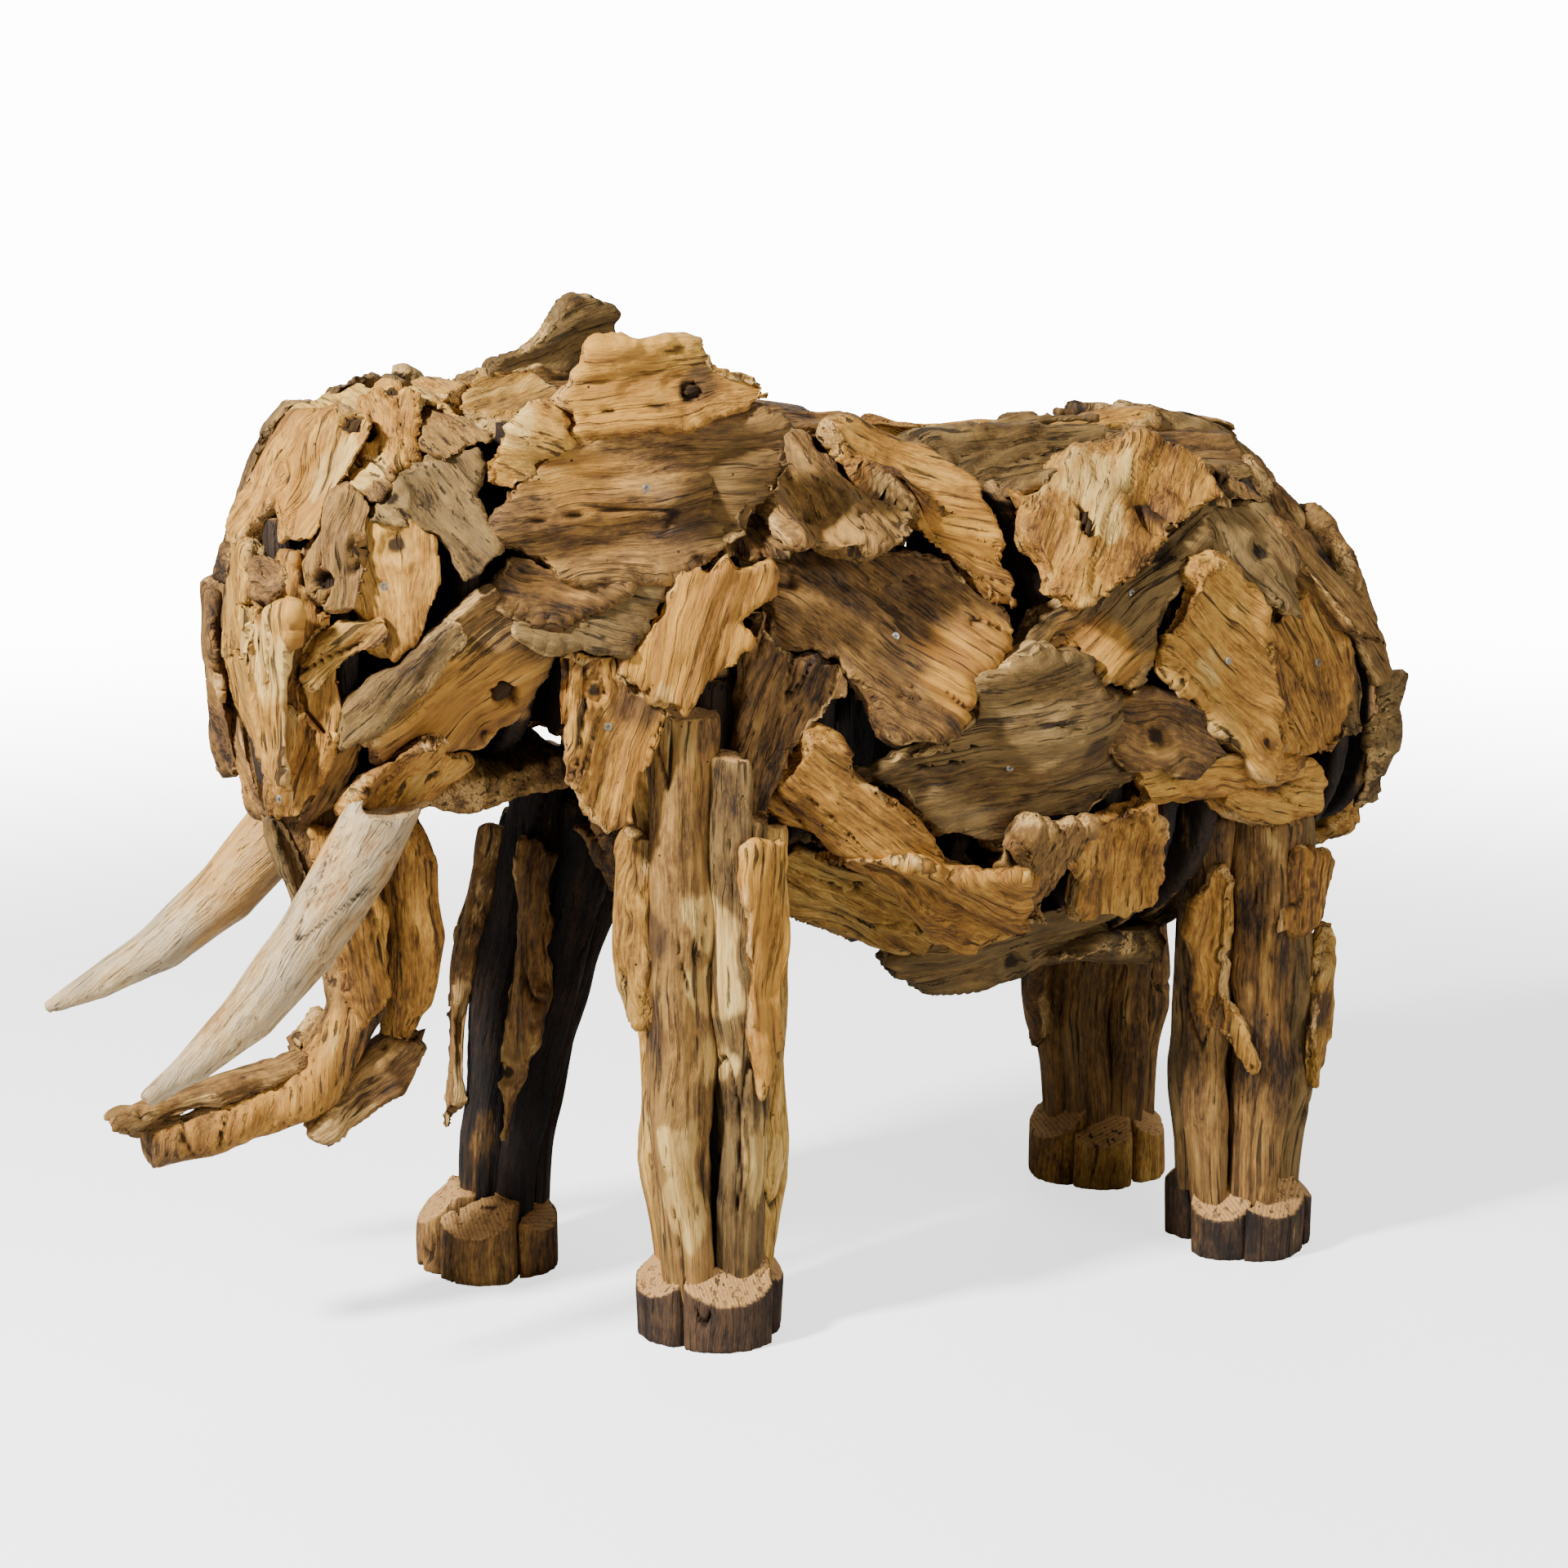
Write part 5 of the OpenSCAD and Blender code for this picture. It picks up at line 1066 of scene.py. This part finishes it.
@dataclass
class Legs:
    """Four bundles of upright logs, the hanging boards on them and the toe blocks round each foot."""

    logs: Carve = LOG_CARVE
    boards: Carve = Carve(voxel=0.004, wobble=0.008, warp=0.008, lift=0.03)
    toes: Carve = TOE_CARVE

    def feet(self) -> dict[str, Point]:
        """Read where each foot stands from the record's mounts."""
        return {mount["name"]: tuple(mount["pos_m"]) for mount in frame["record"]["mounts"]}

    def pieces(self) -> list[Piece]:
        """List the parts of the legs."""
        feet = self.feet()
        fore = (
            ((0.13, -0.22, 0.42), Finish.PALE),
            ((0.19, -0.22, 0.42), Finish.BROWN),
            ((0.22, -0.16, 0.40), Finish.GREY),
            ((0.19, -0.12, 0.35), Finish.PALE),
            ((0.13, -0.12, 0.33), Finish.BROWN),
            ((0.10, -0.17, 0.35), Finish.GOLD),
        )
        fore_marks = (
            Mark("stain", (0.23, -0.20, 0.50), 0.04, 0.8),
            Mark("stain", (0.23, -0.20, 0.42), 0.04, 0.8),
            Mark("stain", (0.23, -0.20, 0.34), 0.035, 0.7),
            Mark("stain", (0.23, -0.24, 0.24), 0.035, 0.8),
            Mark("stain", (0.23, -0.24, 0.17), 0.035, 0.8),
            Mark("stain", (0.18, -0.26, 0.48), 0.05, -0.9),
            Mark("stain", (0.18, -0.26, 0.38), 0.05, -0.9),
            Mark("stain", (0.22, -0.20, 0.22), 0.04, -0.7),
            Mark("stain", (0.25, -0.14, 0.22), 0.06, 0.7),
        )
        hind = (
            ((0.13, 0.51, 0.31), Finish.GREY),
            ((0.19, 0.50, 0.33), Finish.BROWN),
            ((0.22, 0.54, 0.35), Finish.BROWN),
            ((0.20, 0.60, 0.35), Finish.GREY),
            ((0.13, 0.60, 0.33), Finish.BROWN),
            ((0.10, 0.55, 0.32), Finish.BROWN),
        )
        boards = (
            ((-0.26, -0.23, 0.34), Finish.GREY),
            ((-0.19, -0.34, 0.36), Finish.BROWN),
            ((-0.09, -0.30, 0.36), Finish.BROWN),
            ((-0.26, 0.56, 0.33), Finish.GOLD),
            ((-0.17, 0.46, 0.29), Finish.BROWN),
            ((0.08, -0.12, 0.36), Finish.BROWN),
            ((0.26, -0.15, 0.45), Finish.GOLD),
            ((0.16, -0.26, 0.49), Finish.PALE),
            ((0.07, 0.57, 0.31), Finish.BROWN),
            ((0.23, 0.49, 0.37), Finish.GOLD),
            ((0.23, 0.62, 0.31), Finish.PALE),
            ((0.25, 0.58, 0.47), Finish.GOLD),
        )
        toes = (
            ((0.16, -0.17, 0.05), Finish.BARK),
            ((-0.16, -0.32, 0.05), Finish.BROWN),
            ((0.16, 0.55, 0.05), Finish.BARK),
            ((-0.16, 0.55, 0.05), Finish.PALE),
        )
        log, n = self.logs, self.boards
        return [
            Piece("leg_fl", Finish.GOLD, Cut.LOG, log, marks=fore_marks, spots=fore, foot=feet["front_left_sole"]),
            # The far front leg is dressed in the painted-shade finish.
            Piece("leg_fr", Finish.DARK, Cut.LOG, log, foot=feet["front_right_sole"], draw=(0.55, 0.34)),
            Piece("leg_rl", Finish.GOLD, Cut.LOG, log, spots=hind, foot=feet["rear_left_sole"]),
            Piece("leg_rr", Finish.BROWN, Cut.LOG, log, foot=feet["rear_right_sole"]),
            Piece(
                "leg_boards",
                Finish.GOLD,
                carve=n,
                grain=(0.0, 0.05, 1.0),
                marks=(Mark("stain", (0.25, 0.62, 0.31), 0.03, -1.0), Mark("warm", (0.27, -0.15, 0.45), 0.15, 0.8)),
                spots=boards,
            ),
            Piece("toes", Finish.BARK, Cut.BLOCK, self.toes, (0.0, 0.0, 1.0), spots=toes),
        ]


@dataclass
class TrunkAndTusks:
    """The forward-curving trunk with its boards, and the two long tusks."""

    trunk: Carve = LOG_CARVE
    tusks: Carve = TUSK_CARVE

    def pieces(self) -> list[Piece]:
        """List the parts of the trunk and the tusks."""
        boards = (
            ((-0.04, -0.63, 0.32), Finish.BROWN),
            ((0.0, -0.72, 0.31), Finish.BROWN),
            ((-0.04, -0.57, 0.50), Finish.BROWN),
            ((0.0, -0.54, 0.30), Finish.BROWN),
            ((0.0, -0.62, 0.56), Finish.GREY),
            ((0.04, -0.56, 0.49), Finish.GOLD),
        )
        return [
            Piece("trunk_log", Finish.BROWN, Cut.LOG, self.trunk, marks=(Mark("warm", (0.0, -0.7, 0.3), 0.15, 0.6),)),
            Piece("trunk_curl", Finish.GOLD, Cut.LOG, self.trunk),
            Piece("trunk_boards", Finish.BROWN, carve=SLAB_CARVE, spots=boards),
            Piece("tusk_left", Finish.TUSK, Cut.LOG, self.tusks, marks=(Mark("warm", (0.1, -0.62, 0.6), 0.05, 0.4),)),
            Piece("tusk_right", Finish.TUSK, Cut.LOG, self.tusks, marks=(Mark("warm", (-0.1, -0.66, 0.56), 0.1, 0.6),)),
        ]


@dataclass
class InnerFrame:
    """The rough boards inside that the slabs are screwed to, seen only through the gaps."""

    carve: Carve = Carve(0.008, 1, 0.0, 0.0, 0.0, 0.0, 0.0, 0.0, 0.001, 0.0, 0.0, 0.0, 0.0)

    def pieces(self) -> list[Piece]:
        """List the boards of the inner frame."""
        names = ("spine", "cross_beams", "ear_cleats", "ribs", "leg_posts")
        return [Piece(name, Finish.FRAME, Cut.LOG, self.carve) for name in names]


@dataclass
class Screws:
    """Countersunk steel screws, driven in flush with the weathered slabs."""

    radius: float = 0.0048
    height: float = 0.003
    slot_w: float = 0.0013
    slot_l: float = 0.0056
    proud: float = 0.0008

    def head(self) -> bpy.types.Object:
        """Model one screw head with its cross recess.

        Returns:
            The head, upright at the origin.
        """
        bpy.ops.object.select_all(action="DESELECT")
        bpy.ops.mesh.primitive_cylinder_add(vertices=28, radius=self.radius, depth=self.height, location=(0, 0, 0))
        head = bpy.context.active_object
        apply_modifier(head, "BEVEL", width=0.0007, segments=3, limit_method="ANGLE")
        for turn in (0.0, math.pi / 2.0):
            bpy.ops.object.select_all(action="DESELECT")
            bpy.ops.mesh.primitive_cube_add(size=1.0, location=(0.0, 0.0, self.height / 2.0), rotation=(0.0, 0.0, turn))
            bar = bpy.context.active_object
            bar.scale = (self.slot_l, self.slot_w, self.height)
            bpy.ops.object.transform_apply(location=True, rotation=True, scale=True)
            apply_modifier(head, "BOOLEAN", object=bar, operation="DIFFERENCE", solver="EXACT")
            bpy.data.objects.remove(bar)
        return head

    def build(self, slabs: list[bpy.types.Object]) -> bpy.types.Object:
        """Set a head on the wood wherever the frame has a screw.

        Args:
            slabs: the finished slabs that the screws hold.

        Returns:
            All the screw heads as one piece.
        """
        source = frame["nodes"]["screws"]
        mesh = bmesh.new()
        mesh.from_mesh(source.data)
        bmesh.ops.remove_doubles(mesh, verts=mesh.verts, dist=0.00002)
        bmesh.ops.triangulate(mesh, faces=mesh.faces)
        mesh.verts.ensure_lookup_table()
        seen: set[int] = set()
        heads = []
        model = self.head()
        for vert in mesh.verts:
            if vert.index in seen:
                continue
            group, todo = [], [vert]
            seen.add(vert.index)
            while todo:
                now = todo.pop()
                group.append(now.co.copy())
                for edge in now.link_edges:
                    other = edge.other_vert(now)
                    if other.index not in seen:
                        seen.add(other.index)
                        todo.append(other)
            heads.append(self._set(model, np.array(group), slabs))
        mesh.free()
        bpy.data.objects.remove(model)
        bpy.ops.object.select_all(action="DESELECT")
        for head in heads:
            head.select_set(True)
        bpy.context.view_layer.objects.active = heads[0]
        bpy.ops.object.join()
        done = bpy.context.view_layer.objects.active
        done.name = "screws_steel"
        done.data.materials.clear()
        done.data.materials.append(self.steel())
        only(done)
        bpy.ops.object.shade_smooth_by_angle(angle=math.radians(35.0))
        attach(done, BODY)
        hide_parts("screws")
        LOG.info("%s: %d heads", done.name, len(heads))
        return done

    def _set(self, model: bpy.types.Object, group: np.ndarray, slabs: list[bpy.types.Object]) -> bpy.types.Object:
        """Copy the head to one screw's place.

        Args:
            model: the head at the origin.
            group: the vertices of the screw in the frame.
            slabs: the finished slabs.

        Returns:
            The placed head.
        """
        middle = group.mean(axis=0)
        axis = Vector(np.linalg.eigh((group - middle).T @ (group - middle))[1][:, 2]).normalized()
        along = (group - middle) @ np.array(axis)
        wide = np.linalg.norm((group - middle) - np.outer(along, np.array(axis)), axis=1)
        if float(along[wide > wide.max() * 0.8].mean()) < 0.0:
            axis = -axis
        start = Vector(middle) + axis * 0.25
        best, best_normal = None, axis
        for slab in slabs:
            hit, place, normal, _ = slab.ray_cast(start, -axis, distance=0.3)
            if hit and (best is None or (place - start).length < (best - start).length):
                best, best_normal = place, normal
        place = best if best is not None else Vector(middle) + axis * float(along.max())
        facing = (axis + best_normal * 0.5).normalized()
        copy = model.copy()
        copy.data = model.data.copy()
        bpy.context.collection.objects.link(copy)
        copy.rotation_euler = facing.to_track_quat("Z", "Y").to_euler()
        copy.location = place + facing * (self.proud - self.height / 2.0)
        only(copy)
        bpy.ops.object.transform_apply(location=True, rotation=True, scale=True)
        return copy

    def steel(self) -> bpy.types.Material:
        """Build the dulled zinc finish.

        Returns:
            The material.
        """
        g = Graph("dull_zinc")
        place = g.node("ShaderNodeTexCoord", {}, {}, "Object")
        speck = g.noise(place, (900.0, 900.0, 900.0), 3.0)
        grime = g.noise(place, (260.0, 260.0, 260.0), 2.0)
        colour = g.blend(speck, srgb(120, 116, 108), srgb(178, 174, 164))
        colour = g.blend(grime.ramp(0.5, 0.7) * 0.7, colour, srgb(96, 70, 46))
        skin = g.node(
            "ShaderNodeBsdfPrincipled",
            {},
            {"Base Color": colour, "Metallic": 0.85, "Roughness": grime * 0.4 + 0.25},
            "BSDF",
        )
        g.finish(skin)
        return g.material


# ---------------------------------------------------------------- studio


@dataclass(frozen=True)
class Studio:
    """A pale floor, soft lights and the camera."""

    target: Point = (-0.0774, 0.0374, 0.588)
    reach: Point = (3.7056, -1.8073, 0.8014)
    lens: float = 78.375

    def floor(self) -> None:
        """Lay a wide pale floor under the feet."""
        bpy.ops.object.select_all(action="DESELECT")
        bpy.ops.mesh.primitive_plane_add(size=40.0, location=(0.0, 0.0, 0.0))
        floor = bpy.context.active_object
        floor.name = "studio_floor"
        g = Graph("studio_floor")
        place = g.node("ShaderNodeTexCoord", {}, {}, "Object")
        far = g.node("ShaderNodeVectorMath", {"operation": "LENGTH"}, {0: place}, 1)
        look = {"Base Color": (0.45, 0.45, 0.45, 1.0), "Roughness": 0.8, "Alpha": 1.0 - far.ramp(1.8, 6.0)}
        glow = {"Base Color": (0.95, 0.95, 0.95, 1.0), "Emission Color": (1.0, 1.0, 1.0, 1.0), "Emission Strength": 1.6}
        plain = g.node("ShaderNodeBsdfPrincipled", {}, look, "BSDF")
        lit = g.node("ShaderNodeBsdfPrincipled", {}, look | glow, "BSDF")
        seen = g.node("ShaderNodeLightPath", {}, {}, "Is Camera Ray")
        skin = g.node("ShaderNodeMixShader", {}, {0: seen, 1: plain, 2: lit})
        g.finish(skin)
        floor.data.materials.append(g.material)

    def lights(self) -> None:
        """Set a key light high in front and to the left, a fill and a white surround."""
        self._area("key_light", (1.0, -4.2, 3.7), 0.6, 800.0)
        self._area("fill_light", (5.2, 1.8, 2.2), 3.0, 200.0)
        self._area("back_light", (-4.5, 3.0, 3.5), 3.0, 120.0)
        world = bpy.data.worlds.new("studio_white")
        world.use_nodes = True
        tree = world.node_tree
        seen = tree.nodes.new("ShaderNodeLightPath")
        shade = tree.nodes["Background"]
        level = tree.nodes.new("ShaderNodeMapRange")
        tree.links.new(seen.outputs["Is Camera Ray"], level.inputs[0])
        level.inputs[3].default_value = 0.2
        level.inputs[4].default_value = 14.0
        tree.links.new(level.outputs[0], shade.inputs["Strength"])
        shade.inputs["Color"].default_value = (1.0, 1.0, 1.0, 1.0)
        bpy.context.scene.world = world

    def _area(self, name: str, at: Point, size: float, power: float) -> None:
        """Hang one soft light that looks at the elephant.

        Args:
            name: the light's name.
            at: where it hangs, in metres.
            size: its width.
            power: its strength in watts.
        """
        lamp = bpy.data.lights.new(name, "AREA")
        lamp.size = size
        lamp.energy = power
        held = bpy.data.objects.new(name, lamp)
        held.location = at
        held.rotation_euler = (Vector(self.target) - Vector(at)).to_track_quat("-Z", "Y").to_euler()
        bpy.context.collection.objects.link(held)

    def camera(self) -> None:
        """Stand the camera a little above the elephant's shoulder, off its left front."""
        lens = bpy.data.cameras.new("studio_camera")
        lens.lens = self.lens
        lens.clip_end = 100.0
        held = bpy.data.objects.new("studio_camera", lens)
        held.location = Vector(self.target) + Vector(self.reach)
        held.rotation_euler = (-Vector(self.reach)).to_track_quat("-Z", "Y").to_euler()
        bpy.context.collection.objects.link(held)
        bpy.context.scene.camera = held


def main() -> None:
    """Build the elephant piece by piece, then the studio round it."""
    logging.basicConfig(level=logging.INFO, format="%(message)s")
    studio = Studio()
    studio.camera()
    slabs = []
    for part in (Ears(), Head(), Body(), Legs(), TrunkAndTusks()):
        slabs += [piece.build() for piece in part.pieces()]
    for piece in InnerFrame().pieces():
        piece.build()
    Screws().build(slabs)
    studio.floor()
    studio.lights()


if __name__ == "__main__":
    main()
